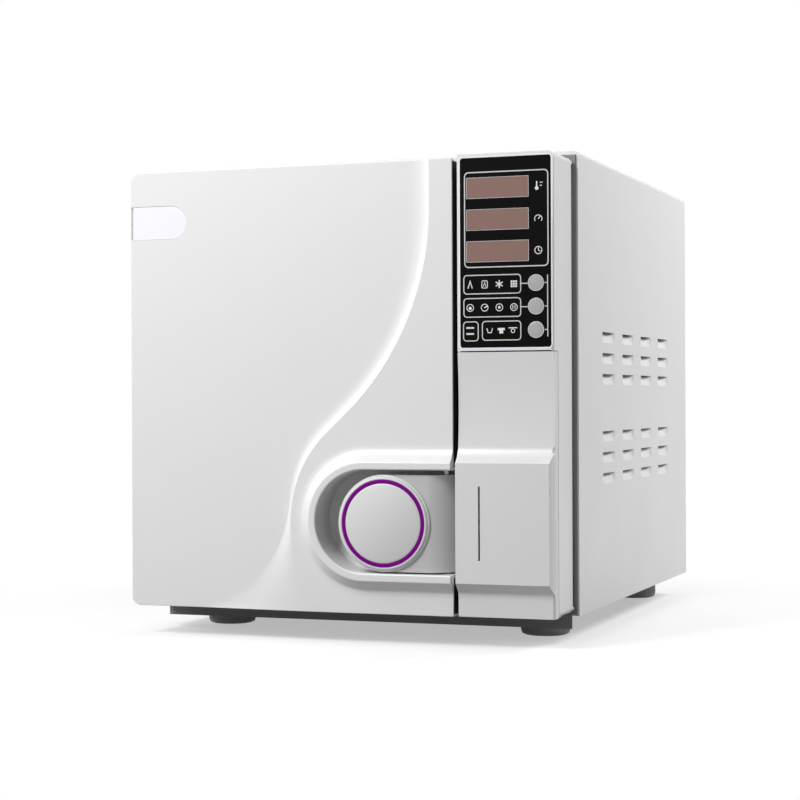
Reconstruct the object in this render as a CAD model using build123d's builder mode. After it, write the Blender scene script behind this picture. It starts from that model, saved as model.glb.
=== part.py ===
from build123d import *
from math import cos, pi, radians, sin
import os

# Bench-top dental autoclave, in millimetres. +Z is up, the front looks along -Y, and the
# origin is on the floor at the centre of the machine's bounding box.

os.makedirs("parts", exist_ok=True)

# Cabinet
cover_width = 380.0
cover_depth = 425.0
cover_height = 380.0
cover_lift = 22.0
sheet = 1.2
sheet_bend = 4.0
sheet_gap = 0.2
cover_lip = 5.0
tray_flange = 24.0
lip_inset = 7.0
lip_drop = 11.0

# Moulded front frame
frame_depth = 57.0
frame_seam = 4.0
frame_side_inset = 3.7
frame_top_inset = 6.6
frame_bottom_inset = 3.0
frame_wall = 2.5
frame_corner = 5.0
neck_inset = 3.0
neck_length = 13.0
mouth_radius = 129.0

# Door cover
door_right = 103.3
door_gap = 3.0
door_top_gap = 2.0
door_depth = 43.0
door_wall = 3.0
door_corner = 8.0
door_step = 5.0
hinge_space = 5.0
liner_thick = 2.5

# Handle well and handle
well_radius = 42.0
well_left = 27.2
well_height = 100.5
well_depth = 24.0
boss_rise = 8.0
boss_rim = 6.0
boss_slope = 7.5
knob_x = 44.0
knob_radius = 39.5
knob_drop = 1.3
knob_reach = 10.0
knob_thick = 7.0
ring_outer = 35.7
ring_width = 3.4
ring_depth = 0.8
lever_thick = 8.0
lever_bend_x = 80.0
barrel_radius = 8.5
barrel_x = 91.8
barrel_set = 15.0
handle_pin_radius = 3.0
pivot_play = 0.05

# Lock
finger_width = 6.0
finger_reach = 18.0
finger_height = 8.0
fork_play = 1.8
lock_travel = 12.4
bolt_radius = 4.2
bolt_short = 1.0
lock_bar_width = 8.0
upper_bolt_z = 300.0
lower_bolt_z = 155.0

# Pressure vessel
chamber_radius = 105.0
chamber_wall = 3.0
chamber_length = 348.0
flange_radius = 126.0
flange_thick = 12.0
flange_set = 52.0
band_thick = 3.0
band_width = 60.0
lagging_thick = 15.0
pressure_door_radius = 122.0
pressure_door_thick = 9.0
gasket_radius = 112.0
gasket_width = 8.0
gasket_seat = 3.0
soft_gap = 0.3

# Hinge of the main door
hinge_pin_radius = 4.0
knuckle_radius = 6.5
knuckle_length = 26.0
hinge_spread = 120.0

# Control panel
panel_height = 157.9
membrane_thick = 0.6
window_width = 51.3
window_height = 16.2
window_pitch = 25.4
window_left = 114.3
window_drop = 19.4
key_x = 171.8
key_drop = 104.1
key_pitch = 18.55
key_radius = 6.6
key_gap = 0.15
key_proud = 0.9
key_travel = 0.8
board_set = 14.0
board_thick = 1.6

# Service door and printer
service_wrap = 10.8
service_seam = 1.2
service_pivot_x = 180.8
service_pivot_set = 24.0
service_pin_radius = 1.5
paper_width = 57.0
slot_x = 126.1
slot_width = 1.6
roll_radius = 15.0
platen_radius = 4.5

# Water tank on top
shelf_drop = 59.0
tank_height = 50.0
neck_width = 150.0
neck_depth = 110.0
lid_thick = 4.0
lid_overlap = 9.0

# Rear fittings
rear_reach = 24.0
nipple_radius = 5.0
nipple_groove = 1.5
collar_radius = 8.0
collar_proud = 1.0
collar_gap = 0.3
fan_size = 80.0
fan_thick = 25.0

# Louvres pressed into the cabinet's sides
louvre_length = 44.0
louvre_height = 9.0
louvre_depth = 4.5
louvre_pitch_y = 72.0
louvre_pitch_z = 18.0
louvre_first_y = 101.0
louvre_columns = 4
louvre_rows = 3
louvre_tops = (256.5, 171.5)

# Feet
foot_radius = 21.0
foot_x = 146.0
foot_front_y = 54.0
foot_rear_y = 382.0

# Places worked out from the sizes above
front_y = (knob_reach - frame_depth - frame_seam - cover_depth - rear_reach) / 2
cover_front = front_y + frame_depth + frame_seam
cover_back = cover_front + cover_depth
cover_top = cover_lift + cover_height
cover_half = cover_width / 2
inner_half = cover_half - sheet
frame_half = cover_half - frame_side_inset
frame_bottom = cover_lift + frame_bottom_inset
frame_top = cover_top - frame_top_inset
door_bottom = frame_bottom
door_top = frame_top - door_top_gap
door_left = -frame_half
door_width = door_right - door_left
panel_left = door_right + door_gap
panel_width = frame_half - panel_left
panel_split_z = frame_top - panel_height
window_top_z = frame_top - window_drop
key_top_z = frame_top - key_drop
axis_x = (door_left + door_right) / 2
axis_z = (door_bottom + door_top) / 2
floor_z = cover_lift + sheet
door_back = front_y + door_depth
rail_front = door_back + hinge_space
flange_front = front_y + flange_set
flange_back = flange_front + flange_thick
vessel_outer = chamber_radius + chamber_wall
band_outer = vessel_outer + band_thick
lagging_outer = band_outer + lagging_thick
vessel_back = flange_front + chamber_length
pivot_x = door_left + hinge_pin_radius - 0.7
pivot_y = door_back + hinge_space / 2
boss_crest = well_radius + boss_rim
boss_toe = boss_crest + boss_slope
barrel_y = front_y + barrel_set
well_floor = front_y + well_depth


def upright(y):
    """Upright plane facing the front, at depth y: its own axes are X and Z."""
    return Plane.XZ.offset(-y)


def sideways(x):
    """Upright plane facing +X, at x: its own axes are Y and Z."""
    return Plane.YZ.offset(x)


def level(z):
    """Level plane at height z."""
    return Plane.XY.offset(z)


def axis_plane(x, z):
    """Plane through an axis that runs front to back: its own axes are Y and the radius."""
    return Plane(origin=(x, 0, z), x_dir=(0, 1, 0), z_dir=(1, 0, 0))


def depth_axis(x, z):
    """Axis that runs front to back."""
    return Axis((x, 0, z), (0, 1, 0))


def save(piece, name):
    """Label a finished piece and write it."""
    piece.part.label = name
    export_step(piece.part, f"parts/{name}.step")


def box(x_low, x_high, y_low, y_high, z_low, z_high, mode=Mode.ADD):
    """Block between two corners."""
    centre = ((x_low + x_high) / 2, (y_low + y_high) / 2, (z_low + z_high) / 2)
    with Locations(centre):
        Box(x_high - x_low, y_high - y_low, z_high - z_low, mode=mode)


def rod_y(x, z, y_low, y_high, radius, mode=Mode.ADD):
    """Round bar that runs front to back."""
    with Locations((x, (y_low + y_high) / 2, z)):
        Cylinder(radius, y_high - y_low, rotation=(90, 0, 0), mode=mode)


def rod_z(x, y, z_low, z_high, radius, mode=Mode.ADD):
    """Upright round bar."""
    with Locations((x, y, (z_low + z_high) / 2)):
        Cylinder(radius, z_high - z_low, mode=mode)


def rod_x(y, z, x_low, x_high, radius, mode=Mode.ADD):
    """Round bar that runs left to right."""
    with Locations(((x_low + x_high) / 2, y, z)):
        Cylinder(radius, x_high - x_low, rotation=(0, 90, 0), mode=mode)


# Louvre: a scoop pressed inwards under its slit, with closed ends, made once for each side
louvre_mid_y = cover_front + louvre_first_y + (louvre_columns - 1) * louvre_pitch_y / 2
louvre_group_zs = [top - (louvre_rows - 1) * louvre_pitch_z / 2 for top in louvre_tops]
louvre_places = [
    (0, louvre_mid_y + (column - (louvre_columns - 1) / 2) * louvre_pitch_y, top - row * louvre_pitch_z)
    for top in louvre_tops
    for row in range(louvre_rows)
    for column in range(louvre_columns)
]
with BuildPart() as louvre:
    with BuildSketch(Plane.XZ.offset(-louvre_length / 2)):
        with BuildLine():
            Polyline(
                (cover_half, -louvre_height),
                (cover_half - louvre_depth, 0),
                (cover_half - louvre_depth - sheet, 0),
                (cover_half - sheet, -louvre_height - sheet / 2),
                close=True,
            )
        make_face()
    extrude(amount=louvre_length)
    for cheek_y in (louvre_length / 2, -louvre_length / 2 + sheet):
        with BuildSketch(Plane.XZ.offset(-cheek_y)):
            with BuildLine():
                Polyline(
                    (cover_half, -louvre_height),
                    (cover_half, 0),
                    (cover_half - louvre_depth, 0),
                    close=True,
                )
            make_face()
        extrude(amount=sheet)
with BuildPart() as mirrored_louvre:
    add(mirror(louvre.part, about=Plane.YZ))

# Cabinet cover: a folded sheet over the top and both sides, with pressed louvres
lid_centre_y = cover_front + 150.0
lid_back = lid_centre_y + neck_depth / 2 + lid_overlap
lid_hinge_y = lid_back + 3.0
lid_hinge_z = cover_top + 4.0
lid_knuckle = 2.6
lid_pin = 1.2
with BuildPart() as cabinet_cover:
    with BuildSketch(upright(cover_front)):
        with Locations((0, cover_lift + cover_height / 2)):
            RectangleRounded(cover_width, cover_height, sheet_bend)
        with Locations((0, cover_lift + (cover_height - sheet) / 2 - sheet_bend)):
            Rectangle(
                cover_width - 2 * sheet, cover_height - sheet + 2 * sheet_bend, mode=Mode.SUBTRACT
            )
        with Locations((-cover_half + sheet / 2, cover_lift + sheet_bend / 2)):
            Rectangle(sheet, sheet_bend)
        with Locations((cover_half - sheet / 2, cover_lift + sheet_bend / 2)):
            Rectangle(sheet, sheet_bend)
    extrude(amount=-cover_depth)
    lip_half = inner_half - cover_lip
    box(-inner_half, -lip_half, cover_front, cover_front + sheet, floor_z, cover_top - sheet)
    box(lip_half, inner_half, cover_front, cover_front + sheet, floor_z, cover_top - sheet)
    lip_low = cover_top - sheet - cover_lip
    box(-lip_half, lip_half, cover_front, cover_front + sheet, lip_low, cover_top - sheet)
    for side in (-1, 1):
        for group_z in louvre_group_zs:
            with BuildSketch(sideways(side * (cover_half - sheet / 2))):
                with Locations((louvre_mid_y, group_z - louvre_height / 2)):
                    with GridLocations(louvre_pitch_y, louvre_pitch_z, louvre_columns, louvre_rows):
                        Rectangle(louvre_length, louvre_height)
            extrude(amount=sheet, both=True, mode=Mode.SUBTRACT)
    with Locations(louvre_places):
        add(louvre.part)
    with Locations(louvre_places):
        add(mirrored_louvre.part)
    with BuildSketch(level(cover_top)):
        with Locations((axis_x, lid_centre_y)):
            RectangleRounded(neck_width + 2, neck_depth + 2, 11)
    extrude(amount=-3 * sheet, mode=Mode.SUBTRACT)
    hinge_low_y = lid_back + 0.6
    box(axis_x - 40, axis_x + 40, hinge_low_y, lid_hinge_y + 8, cover_top, cover_top + sheet)
    for lug_x in (-35, 35):
        rod_x(lid_hinge_y, lid_hinge_z, axis_x + lug_x - 5, axis_x + lug_x + 5, lid_knuckle)
        lug_low = cover_top + sheet
        box(
            axis_x + lug_x - 5,
            axis_x + lug_x + 5,
            lid_hinge_y - 1,
            lid_hinge_y + lid_knuckle,
            lug_low - 0.1,
            lid_hinge_z,
        )
    rod_x(lid_hinge_y, lid_hinge_z, axis_x - 38, axis_x + 38, lid_pin, mode=Mode.ADD)
save(cabinet_cover, "cabinet_cover")

# Base tray: floor of the cabinet, with flanges inside the cover and a lip at the front and back
tray_half = inner_half - sheet_gap
lip_half_width = cover_half - lip_inset
tray_front = cover_front + 2 * sheet
tray_back = cover_back - 12.0
with BuildPart() as base_tray:
    box(-tray_half, tray_half, tray_front, tray_back, cover_lift, floor_z)
    for side in (-1, 1):
        x_pair = sorted((side * tray_half, side * (tray_half - sheet)))
        box(*x_pair, tray_front + 30, tray_back, floor_z, floor_z + tray_flange)
    for lip_y in (tray_front, tray_back - sheet):
        box(-lip_half_width, lip_half_width, lip_y, lip_y + sheet, lip_drop, floor_z)
save(base_tray, "base_tray")

# Four round feet with a ribbed band
foot_places = [
    (x, cover_front + y) for x in (-foot_x, foot_x) for y in (foot_front_y, foot_rear_y)
]
with BuildPart() as rubber_foot:
    with BuildSketch(Plane.XZ):
        with BuildLine():
            Polyline(
                (0, 5),
                (6, 5),
                (6, 0),
                (foot_radius - 4, 0),
                (foot_radius - 1, 1.2),
                (foot_radius, 4),
                (foot_radius, cover_lift - 3),
                (foot_radius - 3, cover_lift),
                (0, cover_lift),
                close=True,
            )
        make_face()
    revolve(axis=Axis.Z)
    with PolarLocations(foot_radius + 0.4, 40):
        with Locations((0, 0, cover_lift / 2 + 0.5)):
            Box(1.6, 1.4, cover_lift - 8, mode=Mode.SUBTRACT)
feet_group = [Pos(x, y, 0) * rubber_foot.part for x, y in foot_places]
with BuildPart() as feet:
    add(feet_group)
save(feet, "feet")

# Front bulkhead: steel plate behind the front frame that carries the vessel, hinge and keepers
bulk_half = frame_half - neck_inset - frame_wall - 1
bulk_top = frame_top - neck_inset - frame_wall - 1
bulk_thick = 3.0
bulk_back = flange_back + bulk_thick
bolt_y = front_y + 36.0
knuckle_bases = (axis_z - hinge_spread, axis_z + hinge_spread - 2 * knuckle_length)
bracket_left = pivot_x + 3.5
bracket_right = pivot_x + 13.5
with BuildPart() as front_bulkhead:
    box(-bulk_half, bulk_half, flange_back, bulk_back, floor_z, bulk_top)
    for base in knuckle_bases:
        rod_z(pivot_x, pivot_y, base, base + knuckle_length, knuckle_radius)
        box(pivot_x, bracket_right, pivot_y + 1.5, pivot_y + 6.5, base, base + knuckle_length)
        box(bracket_left, bracket_right, pivot_y + 5, flange_back, base, base + knuckle_length)
        rod_z(pivot_x, pivot_y, base - 1, base + knuckle_length + 1, hinge_pin_radius, Mode.SUBTRACT)
    rod_y(axis_x, axis_z, flange_back - 1, bulk_back + 1, vessel_outer + 0.2, mode=Mode.SUBTRACT)
    box(125, 170, flange_back - 1, bulk_back + 1, 260, 340, mode=Mode.SUBTRACT)
save(front_bulkhead, "front_bulkhead")

# Moulded front frame: rail behind the door, control panel and service bay on the right
bay_top = panel_split_z + 0.5
bay_left = panel_left + frame_wall
bay_right = frame_half - frame_wall
frame_rim_low = frame_bottom + frame_wall
frame_rim_high = frame_top - frame_wall
frame_height = frame_top - frame_bottom
frame_mid_z = (frame_top + frame_bottom) / 2
frame_back = front_y + frame_depth
bay_back = frame_back - frame_wall
window_area = (112.5, 168.0, frame_top - 91.4, frame_top - 15.4)
membrane_box = (108.3, 184.6, panel_split_z + 2.6, frame_top - 2.8)
low_post_z = panel_split_z + 8.0
high_post_z = frame_top - 9.4
board_posts = [
    (115.0, low_post_z + 2.5),
    (180.3, low_post_z),
    (115.0, high_post_z),
    (180.3, high_post_z),
]
service_pin_zs = (frame_bottom + 9.0, panel_split_z - 15.5)
keeper_left = bay_left + 0.2
keeper_right = keeper_left + 8.0
filter_radius = 22.0
filter_x = 134.0
filter_y = bay_back - filter_radius - 2
filter_mid = 197.0
service_pivot_y = front_y + service_pivot_set
with BuildPart() as front_frame:
    with BuildSketch(upright(front_y)):
        with Locations((0, frame_mid_z)):
            RectangleRounded(2 * frame_half, frame_height, frame_corner)
    extrude(amount=-frame_depth)
    box(-cover_half, panel_left, front_y - 1, rail_front, 0, cover_top, mode=Mode.SUBTRACT)
    box(
        -frame_half + frame_wall,
        panel_left,
        rail_front + frame_wall,
        frame_back + 1,
        frame_rim_low,
        frame_rim_high,
        mode=Mode.SUBTRACT,
    )
    box(
        bay_left,
        bay_right,
        front_y + frame_wall,
        frame_back + 1,
        bay_top + frame_wall,
        frame_rim_high,
        mode=Mode.SUBTRACT,
    )
    box(bay_left, bay_right, front_y - 1, bay_back, frame_rim_low, bay_top, mode=Mode.SUBTRACT)
    box(panel_left - 1, cover_half, front_y - 1, front_y + 3, 0, panel_split_z, mode=Mode.SUBTRACT)
    side_seam_y = front_y + service_wrap + service_seam
    box(
        bay_right - 1.3,
        cover_half,
        front_y - 1,
        side_seam_y,
        0,
        panel_split_z,
        mode=Mode.SUBTRACT,
    )
    rod_y(axis_x, axis_z, rail_front - 1, frame_back + 1, mouth_radius, mode=Mode.SUBTRACT)
    rail_corner = frame_half - 5.0
    with BuildSketch(level(frame_bottom - 1)):
        with BuildLine():
            Polyline(
                (-frame_half - 1, rail_front - 1),
                (-rail_corner + 1, rail_front - 1),
                (-frame_half - 1, rail_front + 5.5),
                close=True,
            )
        make_face()
    extrude(amount=frame_height + 2, mode=Mode.SUBTRACT)
    neck_half = frame_half - neck_inset
    with BuildSketch(upright(frame_back)):
        with Locations((0, frame_mid_z)):
            Rectangle(2 * neck_half, frame_height - 2 * neck_inset)
        with Locations((0, frame_mid_z - frame_wall)):
            Rectangle(
                2 * (neck_half - frame_wall), frame_height - 2 * neck_inset, mode=Mode.SUBTRACT
            )
    extrude(amount=-neck_length)
    for step_x in (-1, 1):
        x_pair = sorted((step_x * (frame_half - 0.01), step_x * (neck_half - frame_wall)))
        box(*x_pair, frame_back - 2, frame_back, frame_rim_low, frame_rim_high)
    for z_pair in (
        (frame_bottom + 0.01, frame_bottom + neck_inset + frame_wall),
        (frame_top - neck_inset - frame_wall, frame_top - 0.01),
    ):
        box(-neck_half, neck_half, frame_back - 2, frame_back, *z_pair)
    box(*membrane_box[:2], front_y - 1, front_y + membrane_thick, *membrane_box[2:], mode=Mode.SUBTRACT)
    box(*window_area[:2], front_y - 1, front_y + 5, *window_area[2:], mode=Mode.SUBTRACT)
    for key in range(3):
        key_z = key_top_z - key * key_pitch
        rod_y(key_x, key_z, front_y - 1, front_y + 5, key_radius + key_gap, mode=Mode.SUBTRACT)
    for x, z in board_posts:
        rod_y(x, z, front_y + frame_wall, front_y + board_set, 3.5)
    for base in knuckle_bases:
        rod_z(
            pivot_x, pivot_y, base - 1, base + 2 * knuckle_length + 1, knuckle_radius + 1, Mode.SUBTRACT
        )
        box(
            -cover_half,
            bracket_right + 1,
            rail_front - 1,
            frame_back - 3,
            base - 1,
            base + 2 * knuckle_length + 1,
            mode=Mode.SUBTRACT,
        )
    for bolt_z in (lower_bolt_z, upper_bolt_z):
        rod_x(bolt_y, bolt_z, panel_left - 1, bay_left + 1, bolt_radius + 1.5, mode=Mode.SUBTRACT)
    for pin_z in service_pin_zs:
        lug_low = pin_z - 5
        lug_ys = (service_pivot_y - 3, service_pivot_y + 3)
        box(service_pivot_x - 4, bay_right + 0.01, *lug_ys, lug_low - 4, lug_low)
        rod_z(
            service_pivot_x, service_pivot_y, lug_low - 5, lug_low + 1, service_pin_radius, Mode.SUBTRACT
        )
    keeper_hole = (bay_left - 0.01, keeper_right + 0.5, bay_back - 1, frame_back + 1)
    box(*keeper_hole, lower_bolt_z - 10.5, lower_bolt_z + 10.5, mode=Mode.SUBTRACT)
    box(filter_x - 10, filter_x + 10, filter_y, bay_back, filter_mid - 6, filter_mid + 6)
    rod_z(filter_x, filter_y, filter_mid - 6, filter_mid + 6, filter_radius + 2)
    rod_z(filter_x, filter_y, filter_mid - 7, filter_mid + 7, filter_radius, Mode.SUBTRACT)
    box(
        filter_x - 14,
        filter_x + 14,
        filter_y - filter_radius - 3,
        filter_y,
        filter_mid - 7,
        filter_mid + 7,
        mode=Mode.SUBTRACT,
    )
save(front_frame, "front_frame")

# Control panel: black front sheet, three display windows, three keys and their board
window_lows = [window_top_z - window_height - row * window_pitch for row in range(3)]
window_right = window_left + window_width
with BuildPart() as membrane_panel:
    low_x, high_x, low_z, high_z = membrane_box
    with BuildSketch(upright(front_y)):
        with Locations(((low_x + high_x) / 2, (low_z + high_z) / 2)):
            Rectangle(high_x - low_x, high_z - low_z)
        for window_low in window_lows:
            with Locations((window_left + window_width / 2, window_low + window_height / 2)):
                Rectangle(window_width, window_height, mode=Mode.SUBTRACT)
        for key in range(3):
            with Locations((key_x, key_top_z - key * key_pitch)):
                Circle(key_radius + key_gap, mode=Mode.SUBTRACT)
    extrude(amount=-membrane_thick)
save(membrane_panel, "membrane_panel")

with BuildPart() as display_windows:
    for window_low in window_lows:
        window_front = (window_left, window_right, front_y, front_y + membrane_thick)
        box(*window_front, window_low, window_low + window_height)
save(display_windows, "display_windows")

board_front = front_y + board_set
switch_front = board_front - 4.6
switch_tip = switch_front - 1.2
with BuildPart() as display_board:
    box(111, 183, board_front, board_front + board_thick, low_post_z - 2.5, high_post_z + 4)
    for window_low in window_lows:
        digit_front = front_y + membrane_thick + soft_gap
        box(window_left, window_right, digit_front, board_front, window_low, window_low + window_height)
    for key in range(3):
        key_z = key_top_z - key * key_pitch
        box(key_x - 3, key_x + 3, switch_front, board_front, key_z - 3, key_z + 3)
        rod_y(key_x, key_z, switch_tip, switch_front, 1.7)
save(display_board, "display_board")

key_flange_front = front_y + 5.0 + 0.05


def panel_key(key_z):
    """Round key: cap, stem and the flange that keeps it behind the panel."""
    rod_y(key_x, key_z, front_y - key_proud, key_flange_front, key_radius)
    rod_y(key_x, key_z, key_flange_front, key_flange_front + 1.2, key_radius + 1.4)
    rod_y(key_x, key_z, key_flange_front + 1.2, switch_tip - key_travel - 0.1, 3)
    cap = faces().filter_by(Axis.Y).sort_by(Axis.Y)[0]
    fillet(cap.edges(), 0.5)


with BuildPart() as key_program:
    panel_key(key_top_z)
save(key_program, "key_program")

with BuildPart() as key_test:
    panel_key(key_top_z - key_pitch)
save(key_test, "key_test")

with BuildPart() as key_start:
    panel_key(key_top_z - 2 * key_pitch)
save(key_start, "key_start")

# Service door: wraps the right corner and carries the raised printer box
service_low = frame_bottom + 0.5
service_high = panel_split_z - 0.5
box_face_y = front_y - boss_rise
toe_low = well_height - boss_toe
toe_high = well_height + boss_toe
crest_low = well_height - boss_crest
crest_high = well_height + boss_crest
scoop_depth = 2.2
slope_trim = 1.0
arm_reach = 17.5
arm_wall = 3.0
arm_eye = bay_right - service_pivot_x - 0.1
slot_half = paper_width / 2 + 1
with BuildPart() as service_door:
    with BuildSketch(sideways(panel_left)):
        with BuildLine():
            Polyline(
                (front_y, toe_high),
                (box_face_y, crest_high),
                (box_face_y, crest_low),
                (front_y, toe_low),
                (front_y, service_low),
                (front_y + service_wrap, service_low),
                (front_y + service_wrap, service_high),
                (front_y, service_high),
            )
            ThreePointArc(
                (front_y, service_high),
                (front_y + scoop_depth, (service_high + toe_high) / 2),
                (front_y, toe_high),
            )
        make_face()
    extrude(amount=panel_width)
    with BuildSketch(level(crest_low - boss_slope - 1)):
        with BuildLine():
            Polyline(
                (frame_half - 2.4, box_face_y - 1),
                (frame_half - 2.4, box_face_y),
                (frame_half, front_y),
                (frame_half + 1, front_y),
                (frame_half + 1, box_face_y - 1),
                close=True,
            )
        make_face()
    extrude(amount=2 * boss_toe + 2, mode=Mode.SUBTRACT)
    with BuildSketch(sideways(panel_left + frame_wall)):
        with BuildLine():
            Polyline(
                (front_y + frame_wall, toe_high - slope_trim),
                (box_face_y + frame_wall, crest_high - slope_trim),
                (box_face_y + frame_wall, crest_low + slope_trim),
                (front_y + frame_wall, toe_low + slope_trim),
                (front_y + frame_wall, service_low + frame_wall),
                (front_y + service_wrap + 1, service_low + frame_wall),
                (front_y + service_wrap + 1, service_high - frame_wall),
                (front_y + frame_wall, service_high - frame_wall),
            )
            ThreePointArc(
                (front_y + frame_wall, service_high - frame_wall),
                (front_y + frame_wall + scoop_depth, (service_high + toe_high) / 2),
                (front_y + frame_wall, toe_high - slope_trim),
            )
        make_face()
    extrude(amount=panel_width - 2 * frame_wall, mode=Mode.SUBTRACT)
    back_of_skin = (front_y + frame_wall + 0.1, front_y + service_wrap + 1)
    box(0, bay_left + 0.3, *back_of_skin, 0, panel_split_z, mode=Mode.SUBTRACT)
    box(0, bay_right - 0.8, *back_of_skin, 0, frame_rim_low + 0.3, mode=Mode.SUBTRACT)
    box(
        slot_x - slot_width / 2,
        slot_x + slot_width / 2,
        box_face_y - 1,
        front_y,
        well_height - slot_half,
        well_height + slot_half,
        mode=Mode.SUBTRACT,
    )
    for pin_z in service_pin_zs:
        arm_zs = (pin_z - 4.8, pin_z - 0.8)
        arm_left = service_pivot_x - arm_reach
        box(arm_left, service_pivot_x, service_pivot_y - 1.5, service_pivot_y + 1.5, *arm_zs)
        box(arm_left, arm_left + arm_wall, front_y + 2.0, service_pivot_y + 1.5, *arm_zs)
        rod_z(service_pivot_x, service_pivot_y, *arm_zs, arm_eye)
        rod_z(
            service_pivot_x,
            service_pivot_y,
            pin_z - 6,
            pin_z,
            service_pin_radius + pivot_play,
            mode=Mode.SUBTRACT,
        )
save(service_door, "service_door")

with BuildPart() as service_hinge_pins:
    for pin_z in service_pin_zs:
        rod_z(service_pivot_x, service_pivot_y, pin_z - 9, pin_z - 0.8, service_pin_radius)
save(service_hinge_pins, "service_hinge_pins")

# Printer behind the raised box: open case, paper roll on two stubs, and the driven roller
printer_wall = 2.0
printer_front = box_face_y + frame_wall
printer_back = front_y + 30.0
printer_left = 112.0
printer_right = 168.0
printer_half = paper_width / 2 + 5.5
roll_x = 149.5
roll_y = front_y + 13.5
core_radius = 5.0
platen_x = slot_x + platen_radius + slot_width / 2 + 0.6
platen_y = front_y + 1.5
platen_shaft = 2.0
with BuildPart() as printer_case:
    low_z = well_height - printer_half
    high_z = well_height + printer_half
    box(printer_left, printer_right, printer_front, printer_back, low_z, high_z)
    box(
        printer_left + printer_wall,
        printer_right - printer_wall,
        printer_front + printer_wall,
        printer_back + 1,
        low_z + printer_wall,
        high_z - printer_wall,
        mode=Mode.SUBTRACT,
    )
    box(
        slot_x - slot_width / 2,
        slot_x + slot_width / 2,
        printer_front - 1,
        printer_front + printer_wall + 1,
        well_height - slot_half,
        well_height + slot_half,
        mode=Mode.SUBTRACT,
    )
    rod_z(roll_x, roll_y, low_z + 1, low_z + printer_wall + 7, core_radius)
    rod_z(roll_x, roll_y, high_z - printer_wall - 7, high_z - 1, core_radius)
    rod_z(platen_x, platen_y, low_z - 1, high_z + 1, platen_shaft + pivot_play, Mode.SUBTRACT)
save(printer_case, "printer_case")

with BuildPart() as paper_roll:
    roll_zs = (well_height - paper_width / 2, well_height + paper_width / 2)
    rod_z(roll_x, roll_y, *roll_zs, roll_radius)
    rod_z(roll_x, roll_y, roll_zs[0] - 1, roll_zs[1] + 1, core_radius + pivot_play, Mode.SUBTRACT)
save(paper_roll, "paper_roll")

with BuildPart() as platen_roller:
    rod_z(platen_x, platen_y, *roll_zs, platen_radius)
    rod_z(platen_x, platen_y, low_z, high_z, platen_shaft)
save(platen_roller, "platen_roller")

with BuildPart() as air_filter:
    rod_z(filter_x, filter_y, filter_mid - 27, filter_mid + 27, filter_radius)
    rims = edges().filter_by(GeomType.CIRCLE)
    fillet(rims, 3)
    rod_z(filter_x, filter_y, filter_mid + 26, filter_mid + 36, 4)
save(air_filter, "air_filter")

# Door cover: moulded shell with three levels, the handle well and the bare name recess
level_low = front_y + door_step
badge_high = door_top - 28.9
badge_low = badge_high - 28.3
badge_right = -137.0
badge_depth = 1.0


def swoosh(top_x, bend_z, upper_radius, turn, run, lower_radius, foot_x):
    """Outline of the raised part of the door: an S from the top edge round the handle well."""
    first = Line((top_x, door_top), (top_x, bend_z))
    upper = JernArc(start=first @ 1, tangent=first % 1, radius=upper_radius, arc_size=-turn)
    slant = Line(upper @ 1, upper @ 1 + (upper % 1) * run)
    lower = JernArc(start=slant @ 1, tangent=slant % 1, radius=lower_radius, arc_size=turn)
    foot = TangentArc(lower @ 1, (foot_x, door_bottom), tangent=lower % 1)
    Polyline(foot @ 1, (door_right, door_bottom), (door_right, door_top), first @ 0)


def well_outline(radius):
    """Round-ended outline that runs out at the door's right edge."""
    Circle(radius)
    with Locations(((door_right - well_left) / 2 + 0.5, 0)):
        Rectangle(door_right - well_left + 1, 2 * radius)


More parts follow.
